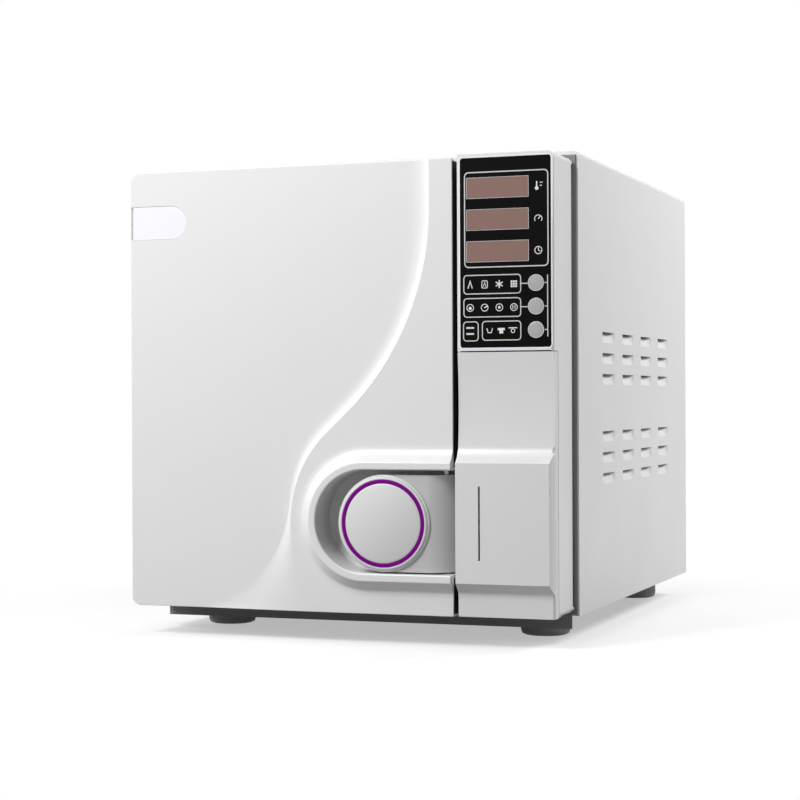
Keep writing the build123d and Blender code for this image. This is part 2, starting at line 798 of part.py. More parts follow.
well_place = (well_left, well_height)
right_trim = (door_right, cover_half, front_y - 20, door_back + 1, 0, cover_top)
with BuildPart() as door_cover:
    with BuildSketch(upright(level_low)):
        with Locations(((door_left + door_right) / 2, (door_bottom + door_top) / 2)):
            Rectangle(door_width, door_top - door_bottom)
    extrude(amount=-(door_depth - door_step))
    corner_edges = edges().filter_by(Axis.Y).group_by(Axis.X)[0]
    fillet(corner_edges, door_corner)
    with BuildSketch(upright(level_low)) as toe_outline:
        with BuildLine():
            swoosh(62.4, 345.0, 200.0, 45.0, 32.0, 82.0, -130.0)
        make_face()
    with BuildSketch(upright(front_y)) as crest_outline:
        with BuildLine():
            swoosh(82.5, 355.0, 227.0, 47.0, 25.0, 100.0, -20.0)
        make_face()
    loft(ruled=True)
    with BuildSketch(upright(front_y)):
        with Locations(well_place):
            well_outline(boss_toe)
    with BuildSketch(upright(front_y - boss_rise)):
        with Locations(well_place):
            well_outline(boss_crest)
    loft(ruled=True)
    box(*right_trim, mode=Mode.SUBTRACT)
    with BuildSketch(upright(front_y - boss_rise - 1)):
        with Locations(well_place):
            well_outline(well_radius)
    extrude(amount=-(well_depth + boss_rise + 1), mode=Mode.SUBTRACT)
    cavity_front = level_low + door_wall
    cavity = (door_left + door_wall, door_right - door_wall)
    with BuildSketch(upright(cavity_front)):
        with Locations((sum(cavity) / 2, (door_bottom + door_top) / 2)):
            Rectangle(cavity[1] - cavity[0], door_top - door_bottom - 2 * door_wall)
        with Locations(well_place):
            Circle(well_radius + door_wall, mode=Mode.SUBTRACT)
            with Locations((100, 0)):
                Rectangle(200, 2 * (well_radius + door_wall), mode=Mode.SUBTRACT)
    extrude(amount=-(well_floor + door_wall - cavity_front), mode=Mode.SUBTRACT)
    box(
        *cavity,
        well_floor + door_wall,
        door_back + 1,
        door_bottom + door_wall,
        door_top - door_wall,
        mode=Mode.SUBTRACT,
    )
    box(
        barrel_x - lock_travel - 8,
        barrel_x + 5,
        well_floor - 1,
        well_floor + door_wall + 1,
        well_height - finger_height / 2 - 1,
        well_height + finger_height / 2 + 1,
        mode=Mode.SUBTRACT,
    )
    badge_radius = (badge_high - badge_low) / 2
    badge_mid = (badge_high + badge_low) / 2
    with BuildSketch(upright(level_low)):
        with Locations((badge_right - badge_radius, badge_mid)):
            Circle(badge_radius)
        with Locations(((door_left + badge_right - badge_radius) / 2, badge_mid)):
            Rectangle(badge_right - badge_radius - door_left, 2 * badge_radius)
    extrude(amount=-badge_depth, mode=Mode.SUBTRACT)
    for bolt_z in (lower_bolt_z, upper_bolt_z):
        rod_x(bolt_y, bolt_z, door_right - 10, door_right + 1, bolt_radius + 0.1, mode=Mode.SUBTRACT)
    for base in knuckle_bases:
        pocket = (base - 1, base + 2 * knuckle_length + 1)
        rod_z(pivot_x, pivot_y, *pocket, knuckle_radius + 1, mode=Mode.SUBTRACT)
    pin_low = well_height - well_radius - door_wall
    pin_high = well_height + well_radius + door_wall
    rod_z(barrel_x, barrel_y, pin_low, pin_high, handle_pin_radius, mode=Mode.SUBTRACT)
save(door_cover, "door_cover")

with BuildPart() as badge_inlay:
    with BuildSketch(upright(level_low + badge_depth - 0.7)):
        with Locations((badge_right - badge_radius, badge_mid)):
            Circle(badge_radius - 0.2)
        with Locations(((door_left + badge_right - badge_radius) / 2, badge_mid)):
            Rectangle(badge_right - badge_radius - door_left, 2 * badge_radius - 0.4)
    extrude(amount=-0.7)
save(badge_inlay, "badge_inlay")

# Inside of the door: liner with bolt guides, steel bridge, pressure door and seal
liner_front = door_back - liner_thick
guide_left = 84.0
guide_right = 96.0
guide_half = 9.0
with BuildPart() as door_liner:
    inset = door_wall + sheet_gap
    box(
        door_left + inset,
        door_right - inset,
        liner_front,
        door_back,
        door_bottom + inset,
        door_top - inset,
    )
    rod_y(axis_x, axis_z, liner_front - 1, door_back + 1, pressure_door_radius + 1, Mode.SUBTRACT)
    for base in knuckle_bases:
        box(
            door_left,
            pivot_x + 16,
            liner_front - 1,
            door_back + 1,
            base - 1,
            base + 2 * knuckle_length + 1,
            mode=Mode.SUBTRACT,
        )
    for bolt_z in (lower_bolt_z, upper_bolt_z):
        guide_zs = (bolt_z - guide_half, bolt_z + guide_half)
        box(guide_left, guide_right, bolt_y - guide_half + 3, liner_front, *guide_zs)
        rod_x(
            bolt_y, bolt_z, guide_left - 1, guide_right + 1, bolt_radius + pivot_play, mode=Mode.SUBTRACT
        )
save(door_liner, "door_liner")

bridge_front = liner_front - 6.0
bridge_bar = (pivot_x + 7, pivot_x + 23)
with BuildPart() as door_bridge:
    box(bridge_bar[1] - 1, 50, bridge_front, liner_front, axis_z - 45, axis_z + 45)
    box(*bridge_bar, bridge_front, liner_front, knuckle_bases[0] + 20, knuckle_bases[1] + 56)
    for base in knuckle_bases:
        top_zs = (base + knuckle_length + 0.3, base + 2 * knuckle_length)
        rod_z(pivot_x, pivot_y, *top_zs, knuckle_radius)
        box(pivot_x, bridge_bar[0] + 2, liner_front - 4, door_back, *top_zs)
        rod_z(
            pivot_x,
            pivot_y,
            base,
            base + 2 * knuckle_length + 1,
            hinge_pin_radius + pivot_play,
            mode=Mode.SUBTRACT,
        )
save(door_bridge, "door_bridge")

plate_back = liner_front + pressure_door_thick
with BuildPart() as pressure_door:
    rod_y(axis_x, axis_z, liner_front, plate_back, pressure_door_radius)
    with BuildSketch(upright(plate_back - gasket_seat)):
        with Locations((axis_x, axis_z)):
            Circle(gasket_radius + gasket_width / 2)
            Circle(gasket_radius - gasket_width / 2, mode=Mode.SUBTRACT)
    extrude(amount=-gasket_seat - 1, mode=Mode.SUBTRACT)
save(pressure_door, "pressure_door")

with BuildPart() as door_gasket:
    with BuildSketch(upright(plate_back - gasket_seat)):
        with Locations((axis_x, axis_z)):
            Circle(gasket_radius + gasket_width / 2)
            Circle(gasket_radius - gasket_width / 2, mode=Mode.SUBTRACT)
    extrude(amount=-(flange_front - soft_gap - plate_back + gasket_seat))
save(door_gasket, "door_gasket")

with BuildPart() as door_hinge_pins:
    for base in knuckle_bases:
        rod_z(pivot_x, pivot_y, base - 1, base + 2 * knuckle_length + 1, hinge_pin_radius)
save(door_hinge_pins, "door_hinge_pins")

# Handle: lever with its barrel and finger, round cap, coloured ring and pin
lever_front = front_y + knob_thick - knob_reach
lever_back = lever_front + lever_thick
lever_half = knob_radius - 0.2
knob_z = well_height - knob_drop
lever_low = knob_z - lever_half
lever_high = knob_z + lever_half
with BuildPart() as handle_lever:
    with BuildSketch(upright(lever_front)):
        with Locations((knob_x, knob_z)):
            Circle(lever_half)
        with Locations(((knob_x + lever_bend_x) / 2, knob_z)):
            Rectangle(lever_bend_x - knob_x, 2 * lever_half)
    extrude(amount=-lever_thick)
    with BuildSketch(level(lever_low)):
        with BuildLine():
            TangentArc(
                (lever_bend_x, lever_front), (barrel_x + barrel_radius, barrel_y), tangent=(1, 0)
            )
            Polyline(
                (barrel_x + barrel_radius, barrel_y),
                (barrel_x - barrel_radius, barrel_y),
                (lever_bend_x, lever_back),
                (lever_bend_x, lever_front),
            )
        make_face()
    extrude(amount=2 * lever_half)
    rod_z(barrel_x, barrel_y, lever_low, lever_high, barrel_radius)
    box(
        barrel_x - finger_width / 2,
        barrel_x + finger_width / 2,
        barrel_y + barrel_radius - 2,
        barrel_y + finger_reach,
        well_height - finger_height / 2,
        well_height + finger_height / 2,
    )
    rod_z(
        barrel_x,
        barrel_y,
        lever_low - 1,
        lever_high + 1,
        handle_pin_radius + pivot_play,
        mode=Mode.SUBTRACT,
    )
save(handle_lever, "handle_lever")

knob_front = front_y - knob_reach
with BuildPart() as handle_cap:
    rod_y(knob_x, knob_z, knob_front, lever_front, knob_radius)
    fillet(faces().sort_by(Axis.Y)[0].edges(), 2.0)
    with BuildSketch(upright(knob_front)):
        with Locations((knob_x, knob_z)):
            Circle(ring_outer)
            Circle(ring_outer - ring_width, mode=Mode.SUBTRACT)
    extrude(amount=-ring_depth, mode=Mode.SUBTRACT)
save(handle_cap, "handle_cap")

with BuildPart() as handle_ring:
    with BuildSketch(upright(knob_front)):
        with Locations((knob_x, knob_z)):
            Circle(ring_outer)
            Circle(ring_outer - ring_width, mode=Mode.SUBTRACT)
    extrude(amount=-ring_depth)
save(handle_ring, "handle_ring")

with BuildPart() as handle_pin:
    rod_z(barrel_x, barrel_y, pin_low, pin_high, handle_pin_radius)
save(handle_pin, "handle_pin")

# Lock: bar with two bolts, drawn back by the lever's finger in the fork
fork_half = finger_width / 2 + fork_play
bar_left = 72.0
fork_front = well_floor + door_wall + 1.5
with BuildPart() as lock_bar:
    bar_back = bolt_y + bolt_radius
    bar_low = well_height - 7
    box(bar_left, bar_left + lock_bar_width, fork_front, bar_back, bar_low, upper_bolt_z + 8)
    box(bar_left, barrel_x + fork_half + 2.4, fork_front, fork_front + 4.5, bar_low, well_height + 7)
    box(
        barrel_x - fork_half,
        barrel_x + fork_half,
        fork_front - 1,
        bar_back + 1,
        well_height - finger_height / 2 - soft_gap,
        well_height + finger_height / 2 + soft_gap,
        mode=Mode.SUBTRACT,
    )
    for bolt_z in (lower_bolt_z, upper_bolt_z):
        rod_x(bolt_y, bolt_z, bar_left + 1, panel_left - bolt_short, bolt_radius)
save(lock_bar, "lock_bar")

with BuildPart() as lock_keepers:
    for bolt_z in (lower_bolt_z, upper_bolt_z):
        keeper_zs = (bolt_z - 10, bolt_z + 10)
        box(keeper_left, keeper_right, bolt_y - 9, flange_back, *keeper_zs)
        rod_x(bolt_y, bolt_z, keeper_left - 1, keeper_right + 1, bolt_radius + 0.6, mode=Mode.SUBTRACT)
save(lock_keepers, "lock_keepers")

# Pressure vessel with its heater bands, lagging and two saddles
valve_radius = 8.0
probe_radius = 2.5
probe_shift = 45.0
lagging_back = vessel_back + lagging_thick
pipe_radius = 3.0
inlet_z = axis_z - 50.0
outlet_x = axis_x + 40.0
outlet_z = axis_z - 60.0
bolt_circle = 121.0
flange_bolt_radius = 2.5
vessel_ports = [
    (axis_x, axis_z, valve_radius),
    (axis_x + probe_shift, axis_z + probe_shift, probe_radius),
    (axis_x, inlet_z, pipe_radius),
    (outlet_x, outlet_z, pipe_radius),
]
with BuildPart() as chamber:
    with BuildSketch(axis_plane(axis_x, axis_z)):
        with BuildLine():
            Polyline(
                (vessel_back, 0),
                (vessel_back - chamber_wall, 0),
                (vessel_back - chamber_wall, chamber_radius - 20),
                (vessel_back - chamber_wall - 20, chamber_radius),
                (flange_front, chamber_radius),
                (flange_front, flange_radius),
                (flange_back, flange_radius),
                (flange_back, vessel_outer),
                (vessel_back - 20, vessel_outer),
                (vessel_back, vessel_outer - 20),
                close=True,
            )
        make_face()
    revolve(axis=depth_axis(axis_x, axis_z))
    for x, z, radius in vessel_ports:
        rod_y(x, z, vessel_back - 10, vessel_back + 1, radius, mode=Mode.SUBTRACT)
    with Locations(upright(flange_front)):
        with Locations((axis_x, axis_z)):
            with PolarLocations(bolt_circle, 8, start_angle=22.5):
                Cylinder(flange_bolt_radius, 2 * flange_thick + 2, mode=Mode.SUBTRACT)
save(chamber, "chamber")

with BuildPart() as flange_bolts:
    with Locations(upright((flange_front + flange_back) / 2)):
        with Locations((axis_x, axis_z)):
            with PolarLocations(bolt_circle, 8, start_angle=22.5):
                Cylinder(flange_bolt_radius, flange_thick)
    with Locations(upright(flange_front - 0.6)):
        with Locations((axis_x, axis_z)):
            with PolarLocations(bolt_circle, 8, start_angle=22.5):
                Cylinder(4.0, 1.2)
save(flange_bolts, "flange_bolts")

band_starts = (front_y + 110.0, front_y + 250.0)
with BuildPart() as heater_bands:
    for band_start in band_starts:
        rod_y(axis_x, axis_z, band_start, band_start + band_width, band_outer)
    rod_y(axis_x, axis_z, front_y, cover_back, vessel_outer, mode=Mode.SUBTRACT)
save(heater_bands, "heater_bands")

with BuildPart() as lagging:
    rod_y(axis_x, axis_z, bulk_back, lagging_back, lagging_outer)
    rod_y(axis_x, axis_z, bulk_back - 1, vessel_back, band_outer, mode=Mode.SUBTRACT)
    for x, z, radius in vessel_ports:
        rod_y(x, z, vessel_back - 1, lagging_back + 1, radius, mode=Mode.SUBTRACT)
save(lagging, "lagging")

generator_z = 53.0
generator_radius = 24.0
saddle_thick = 4.0
saddle_half = 62.0
saddle_ys = (front_y + 130.0, front_y + 330.0)
generator_front = front_y + 105.0
generator_back = front_y + 355.0
with BuildPart() as saddles:
    for saddle_y in saddle_ys:
        saddle_top = axis_z - lagging_outer + 30
        saddle_xs = (axis_x - saddle_half, axis_x + saddle_half)
        box(*saddle_xs, saddle_y, saddle_y + saddle_thick, floor_z, saddle_top)
        box(axis_x - saddle_half, axis_x + saddle_half, saddle_y, saddle_y + 16, floor_z, floor_z + 2)
    rod_y(axis_x, axis_z, front_y, cover_back, lagging_outer, mode=Mode.SUBTRACT)
    rod_y(axis_x, generator_z, front_y, cover_back, generator_radius, mode=Mode.SUBTRACT)
save(saddles, "saddles")

with BuildPart() as steam_generator:
    rod_y(axis_x, generator_z, generator_front, generator_back, generator_radius)
    fillet(edges().filter_by(GeomType.CIRCLE), 5)
    rod_y(axis_x, generator_z, generator_back - 2, generator_back + 6, 6)
    rod_y(axis_x, generator_z, generator_front - 6, generator_front + 2, 6)
save(steam_generator, "steam_generator")

# Instrument rack and its three trays inside the vessel
rack_half = 79.0
rack_wall = 1.2
rack_front = flange_front + 14.0
rack_length = 300.0
rack_foot = -(chamber_radius**2 - rack_half**2) ** 0.5 + 0.3
rack_top = 62.0
tray_shelves = (-50.0, -12.0, 26.0)
tray_half_width = 74.0
tray_depth = 16.0
tray_wall = 0.8
runner = 9.0
with BuildPart() as tray_rack:
    rack_back = rack_front + rack_length
    for side in (-1, 1):
        x_pair = sorted((axis_x + side * rack_half, axis_x + side * (rack_half - rack_wall)))
        box(*x_pair, rack_front, rack_back, axis_z + rack_foot, axis_z + rack_top)
        x_pair = sorted((axis_x + side * rack_half, axis_x + side * (rack_half - runner)))
        for shelf in tray_shelves:
            box(*x_pair, rack_front, rack_back, axis_z + shelf - rack_wall, axis_z + shelf)
    for shelf in (rack_foot, rack_top - 8):
        for cross_y in (rack_front, rack_back - rack_wall):
            box(
                axis_x - rack_half,
                axis_x + rack_half,
                cross_y,
                cross_y + rack_wall,
                axis_z + shelf,
                axis_z + shelf + 8,
            )
save(tray_rack, "tray_rack")

with BuildPart() as trays:
    tray_front_y = rack_front + 2
    tray_length = rack_length - 6
    for shelf in tray_shelves:
        shelf_z = axis_z + shelf
        tray_x = (axis_x - tray_half_width, axis_x + tray_half_width)
        box(*tray_x, tray_front_y, tray_front_y + tray_length, shelf_z, shelf_z + tray_depth)
        box(
            tray_x[0] + tray_wall,
            tray_x[1] - tray_wall,
            tray_front_y + tray_wall,
            tray_front_y + tray_length - tray_wall,
            shelf_z + tray_wall,
            shelf_z + tray_depth + 1,
            mode=Mode.SUBTRACT,
        )
        with BuildSketch(level(shelf_z)):
            with Locations((axis_x, tray_front_y + tray_length / 2)):
                with GridLocations(26, 40, 5, 7):
                    SlotOverall(18, 5)
        extrude(amount=tray_wall, mode=Mode.SUBTRACT)
save(trays, "trays")

probe_x = axis_x + probe_shift
probe_z = axis_z + probe_shift
with BuildPart() as temperature_probe:
    rod_y(probe_x, probe_z, vessel_back - 14, lagging_back + 10, probe_radius)
    rod_y(probe_x, probe_z, lagging_back, lagging_back + 6, 6)
save(temperature_probe, "temperature_probe")

# Inner wall and shelf, folded from one sheet: carries the tank and the electronics
shelf_z = cover_top - shelf_drop
wall_x = 98.0
wall_back = front_y + 440.0
feed_y = front_y + 230.0
feed_z = generator_z
with BuildPart() as inner_wall:
    box(wall_x, wall_x + sheet, bulk_back, wall_back, floor_z, shelf_z + sheet)
    box(-inner_half + 0.2, wall_x + sheet, bulk_back, wall_back, shelf_z, shelf_z + sheet)
    box(wall_x, wall_x + 16, front_y + 240, wall_back, floor_z, floor_z + sheet)
    neck_back = frame_back + neck_length + 1
    box(-cover_half, -neck_half + 4, bulk_back, neck_back, shelf_z, shelf_z + sheet, Mode.SUBTRACT)
    box(-inner_half + 0.2, -inner_half + 0.2 + sheet, neck_back, wall_back, shelf_z, shelf_z + 20)
    rod_x(feed_y, feed_z, wall_x - 1, wall_x + sheet + 1, pipe_radius + 0.3, mode=Mode.SUBTRACT)
save(inner_wall, "inner_wall")

tank_base = shelf_z + sheet
tank_wall = 3.0
tank_left = -165.0
tank_right = 85.0
tank_front = front_y + 90.0
tank_back = front_y + 390.0
with BuildPart() as water_tank:
    tank_x = (tank_left + tank_right) / 2
    tank_y = (tank_front + tank_back) / 2
    with BuildSketch(level(tank_base)):
        with Locations((tank_x, tank_y)):
            RectangleRounded(tank_right - tank_left, tank_back - tank_front, 14)
    extrude(amount=tank_height)
    with BuildSketch(level(tank_base + tank_height)):
        with Locations((axis_x, lid_centre_y)):
            RectangleRounded(neck_width, neck_depth, 10)
    extrude(amount=cover_top - tank_base - tank_height)
    with BuildSketch(level(tank_base + tank_wall)):
        with Locations((tank_x, tank_y)):
            RectangleRounded(
                tank_right - tank_left - 2 * tank_wall, tank_back - tank_front - 2 * tank_wall, 11
            )
    extrude(amount=tank_height - 2 * tank_wall, mode=Mode.SUBTRACT)
    with BuildSketch(level(tank_base + tank_height - tank_wall - 1)):
        with Locations((axis_x, lid_centre_y)):
            RectangleRounded(neck_width - 2 * tank_wall, neck_depth - 2 * tank_wall, 7)
    extrude(amount=cover_top - tank_base - tank_height + tank_wall + 2, mode=Mode.SUBTRACT)
save(water_tank, "water_tank")

lid_gap = 0.3
plug_gap = 1.0
with BuildPart() as tank_lid:
    lid_z = cover_top + lid_gap
    with BuildSketch(level(lid_z)):
        with Locations((axis_x, lid_centre_y)):
            RectangleRounded(neck_width + 2 * lid_overlap, neck_depth + 2 * lid_overlap, 14)
    extrude(amount=lid_thick)
    plug = (neck_width - 2 * tank_wall - 2 * plug_gap, neck_depth - 2 * tank_wall - 2 * plug_gap)
    with BuildSketch(level(lid_z)):
        with Locations((axis_x, lid_centre_y)):
            RectangleRounded(*plug, 6)
            RectangleRounded(plug[0] - 4, plug[1] - 4, 4, mode=Mode.SUBTRACT)
    extrude(amount=-5)
    rod_x(lid_hinge_y, lid_hinge_z, axis_x - 29, axis_x + 29, lid_knuckle)
    box(
        axis_x - 29,
        axis_x + 29,
        lid_back - 0.5,
        lid_hinge_y,
        lid_hinge_z - 1.6,
        lid_z + lid_thick,
    )
    rod_x(lid_hinge_y, lid_hinge_z, axis_x - 30, axis_x + 30, lid_pin + pivot_play, mode=Mode.SUBTRACT)
save(tank_lid, "tank_lid")

# Vacuum pump and water pump on the base tray, to the right of the inner wall
right_x = 142.0
pump_z = 62.0
pump_radius = 30.0
pump_front = front_y + 285.0
pump_split = pump_front + 25.0
pump_back = pump_split + 110.0
pump_head_top = 90.0
with BuildPart() as vacuum_pump:
    rod_y(right_x, pump_z, pump_split, pump_back, pump_radius)
    box(right_x - 30, right_x + 30, pump_front, pump_split, 34, pump_head_top)
    box(right_x - 27, right_x + 27, pump_front + 5, pump_back - 5, floor_z, floor_z + 8)
    box(right_x - 15, right_x + 15, pump_front + 5, pump_back - 5, floor_z + 7, pump_z - 20)
save(vacuum_pump, "vacuum_pump")

feed_pump_radius = 18.0
feed_pump_z = feed_z - 5.0
feed_port_x = right_x - feed_pump_radius - 2
with BuildPart() as water_pump:
    rod_y(right_x, feed_pump_z, feed_y - 15, feed_y + 35, feed_pump_radius)
    box(right_x - 16, right_x + 16, feed_y - 12, feed_y + 32, floor_z, feed_pump_z - 10)
    rod_x(feed_y, feed_z, feed_port_x, right_x - 10, pipe_radius + 1.5)
save(water_pump, "water_pump")

supply_height = 60.0
with BuildPart() as power_supply:
    box(105, 178, front_y + 95, front_y + 200, floor_z, floor_z + supply_height)
    with BuildSketch(level(floor_z + supply_height)):
        with Locations((141.5, front_y + 147.5)):
            with GridLocations(7, 40, 8, 2):
                SlotOverall(28, 3, rotation=90)
    extrude(amount=-2, mode=Mode.SUBTRACT)
save(power_supply, "power_supply")

# Control board on the inner wall: board, spacers and soldered parts
wall_face = wall_x + sheet
board_x = wall_face + 8.8
board_ys = (front_y + 120.0, front_y + 310.0)
board_zs = (200.0, 330.0)
with BuildPart() as control_board:
    box(board_x, board_x + board_thick, *board_ys, *board_zs)
    for y in (board_ys[0] + 8, board_ys[1] - 8):
        for z in (board_zs[0] + 8, board_zs[1] - 8):
            rod_x(y, z, wall_face, board_x, 3)
    part_x = board_x + board_thick
    for relay in range(5):
        relay_y = board_ys[0] + 12 + relay * 22
        box(part_x, part_x + 16, relay_y, relay_y + 16, board_zs[0] + 14, board_zs[0] + 34)
    for coil_y in (board_ys[0] + 30, board_ys[0] + 62):
        rod_x(coil_y, board_zs[1] - 34, part_x, part_x + 26, 11)
    box(part_x, part_x + 4, board_ys[1] - 70, board_ys[1] - 20, board_zs[1] - 60, board_zs[1] - 14)
    for fin in range(8):
        fin_y = board_ys[1] - 70 + fin * 6.9
        box(part_x + 3, part_x + 22, fin_y, fin_y + 1.6, board_zs[1] - 60, board_zs[1] - 14)
save(control_board, "control_board")

# Solenoid valves on their manifold
manifold_ys = (front_y + 130.0, front_y + 270.0)
manifold_zs = (140.0, 156.0)
valve_x = wall_face + 12.8
with BuildPart() as valve_manifold:
    box(wall_face, wall_face + 20, *manifold_ys, *manifold_zs)
    for valve in range(3):
        valve_y = manifold_ys[0] + 25 + valve * 45
        box(
            valve_x - 11, valve_x + 11, valve_y - 11, valve_y + 11, manifold_zs[1] - 1, manifold_zs[1] + 10
        )
        rod_z(valve_x, valve_y, manifold_zs[1] + 9, manifold_zs[1] + 36, 11)
save(valve_manifold, "valve_manifold")

# Rear panel with its punched fan grille
rear_front = cover_back - sheet
fan_x = 143.0
fan_z = 300.0
fan_bore = 38.0
inlet_x = 150.0
inlet_z_mid = 52.0
switch_z = 96.0
fuse_places = [(118.0, 44.0), (118.0, 64.0)]
nipple_places = [(-150.0, 60.0), (-120.0, 60.0)]
tap_x = -135.0
tap_z = 90.0
rear_half = inner_half - sheet_gap
rear_low = floor_z + sheet_gap
rear_high = cover_top - sheet - sheet_gap
rear_mid = (rear_low + rear_high) / 2
rim_depth = 8.0
stem_radius = 3.0
with BuildPart() as rear_panel:
    with BuildSketch(upright(rear_front - rim_depth)):
        with Locations((0, rear_mid)):
            Rectangle(2 * rear_half, rear_high - rear_low)
            Rectangle(2 * (rear_half - sheet), rear_high - rear_low - 2 * sheet, mode=Mode.SUBTRACT)
    extrude(amount=-rim_depth)
    with BuildSketch(upright(rear_front)):
        with Locations((0, rear_mid)):
            Rectangle(2 * rear_half, rear_high - rear_low)
        with Locations((inlet_x, inlet_z_mid)):
            Rectangle(27, 20, mode=Mode.SUBTRACT)
        with Locations((inlet_x, switch_z)):
            Rectangle(22, 28, mode=Mode.SUBTRACT)
        with Locations(fuse_places):
            Circle(6, mode=Mode.SUBTRACT)
        with Locations(nipple_places):
            Circle(collar_radius + collar_gap, mode=Mode.SUBTRACT)
        with Locations((tap_x, tap_z)):
            Circle(stem_radius + 0.3, mode=Mode.SUBTRACT)
        with Locations((axis_x, axis_z)):
            Circle(valve_radius + 0.3, mode=Mode.SUBTRACT)
    extrude(amount=-sheet)
    with BuildSketch(upright(rear_front)):
        with Locations((fan_x, fan_z)):
            for ring in range(4):
                Circle(fan_bore - 2 - 8 * ring)
                Circle(fan_bore - 7 - 8 * ring, mode=Mode.SUBTRACT)
            Rectangle(2 * fan_bore, 3, rotation=45, mode=Mode.SUBTRACT)
            Rectangle(2 * fan_bore, 3, rotation=135, mode=Mode.SUBTRACT)
    extrude(amount=-sheet, mode=Mode.SUBTRACT)
save(rear_panel, "rear_panel")

# Cooling fan
hub_radius = 14.0
with BuildPart() as fan_housing:
    box(
        fan_x - fan_size / 2,
        fan_x + fan_size / 2,
        rear_front - fan_thick,
        rear_front,
        fan_z - fan_size / 2,
        fan_z + fan_size / 2,
    )
    rod_y(fan_x, fan_z, rear_front - fan_thick - 1, rear_front + 1, fan_bore, mode=Mode.SUBTRACT)
    rod_y(fan_x, fan_z, rear_front - 4, rear_front, hub_radius)
    box(fan_x - fan_bore - 1, fan_x + fan_bore + 1, rear_front - 4, rear_front, fan_z - 2, fan_z + 2)
    box(fan_x - 2, fan_x + 2, rear_front - 4, rear_front, fan_z - fan_bore - 1, fan_z + fan_bore + 1)
    rod_y(fan_x, fan_z, rear_front - 20, rear_front - 3, 2)
save(fan_housing, "fan_housing")

with BuildPart() as fan_rotor:
    rod_y(fan_x, fan_z, rear_front - 22, rear_front - 5, hub_radius)
    with Locations(upright(rear_front - 13.5)):
        with Locations((fan_x, fan_z)):
            with PolarLocations(25, 7):
                Box(23.4, 1.6, 14, rotation=(35, 0, 0))
    rod_y(fan_x, fan_z, rear_front - 20.5, rear_front - 4, 2 + pivot_play, mode=Mode.SUBTRACT)
save(fan_rotor, "fan_rotor")

# Condenser in front of the fan
condenser_ys = (front_y + 425.0, front_y + 450.0)
condenser_zs = (fan_z - 38.0, fan_z + 38.0)
with BuildPart() as condenser:
    box(wall_face, 180, *condenser_ys, *condenser_zs)
    with BuildSketch(upright(condenser_ys[0])):
        with Locations((fan_x - 3, fan_z)):
            with GridLocations(3.2, 1, 20, 1):
                Rectangle(2.2, 64)
    extrude(amount=condenser_ys[0] - condenser_ys[1], mode=Mode.SUBTRACT)
save(condenser, "condenser")

# Mains inlet, fuses and power switch
with BuildPart() as mains_inlet:
    flange_xs = (inlet_x - 15.5, inlet_x + 15.5)
    box(*flange_xs, cover_back, cover_back + 2.5, inlet_z_mid - 12.5, inlet_z_mid + 12.5)
    box(inlet_x - 13.5, inlet_x + 13.5, rear_front - 20, cover_back, inlet_z_mid - 10, inlet_z_mid + 10)
    box(
        inlet_x - 12,
        inlet_x + 12,
        cover_back - 15,
        cover_back + 3,
        inlet_z_mid - 8,
        inlet_z_mid + 8,
        mode=Mode.SUBTRACT,
    )
    for pin_x, pin_z in ((-7, -1.5), (7, -1.5), (0, 2.5)):
        blade = (inlet_x + pin_x - 1, inlet_x + pin_x + 1, cover_back - 16, cover_back - 2)
        box(*blade, inlet_z_mid + pin_z - 2, inlet_z_mid + pin_z + 2)
save(mains_inlet, "mains_inlet")

with BuildPart() as fuse_holders:
    for x, z in fuse_places:
        rod_y(x, z, rear_front - 28, cover_back, 6)
        rod_y(x, z, cover_back, cover_back + 6, 8)
        box(x - 5, x + 5, cover_back + 5, cover_back + 7, z - 0.8, z + 0.8, mode=Mode.SUBTRACT)
save(fuse_holders, "fuse_holders")

rocker_tilt = 7.0
rocker_half = 8.5
rocker_y = cover_back - 1.0
with BuildPart() as switch_body:
    box(inlet_x - 13.5, inlet_x + 13.5, cover_back, cover_back + 2, switch_z - 16, switch_z + 16)
    box(inlet_x - 11, inlet_x + 11, rear_front - 16, cover_back, switch_z - 14, switch_z + 14)
    box(
        inlet_x - rocker_half - 0.3,
        inlet_x + rocker_half + 0.3,
        cover_back - 10,
        cover_back + 3,
        switch_z - 12.4,
        switch_z + 12.4,
        mode=Mode.SUBTRACT,
    )
    rod_x(rocker_y, switch_z, inlet_x - 10, inlet_x + 10, 1.2)
save(switch_body, "switch_body")

with BuildPart() as switch_rocker:
    rocker_origin = (inlet_x - rocker_half, rocker_y, switch_z)
    tilt = radians(rocker_tilt)
    rocker_plane = Plane(
        origin=rocker_origin, x_dir=(0, cos(tilt), sin(tilt)), z_dir=(1, 0, 0)
    )
    with BuildSketch(rocker_plane):
        with BuildLine():
            Polyline((5.6, -11.2), (3.6, 0), (5.6, 11.2), (0, 11.4), (-5, 0), (0, -11.4), close=True)
        make_face()
    extrude(amount=2 * rocker_half)
    rod_x(rocker_y, switch_z, inlet_x - 10, inlet_x + 10, 1.2 + pivot_play, mode=Mode.SUBTRACT)
save(switch_rocker, "switch_rocker")

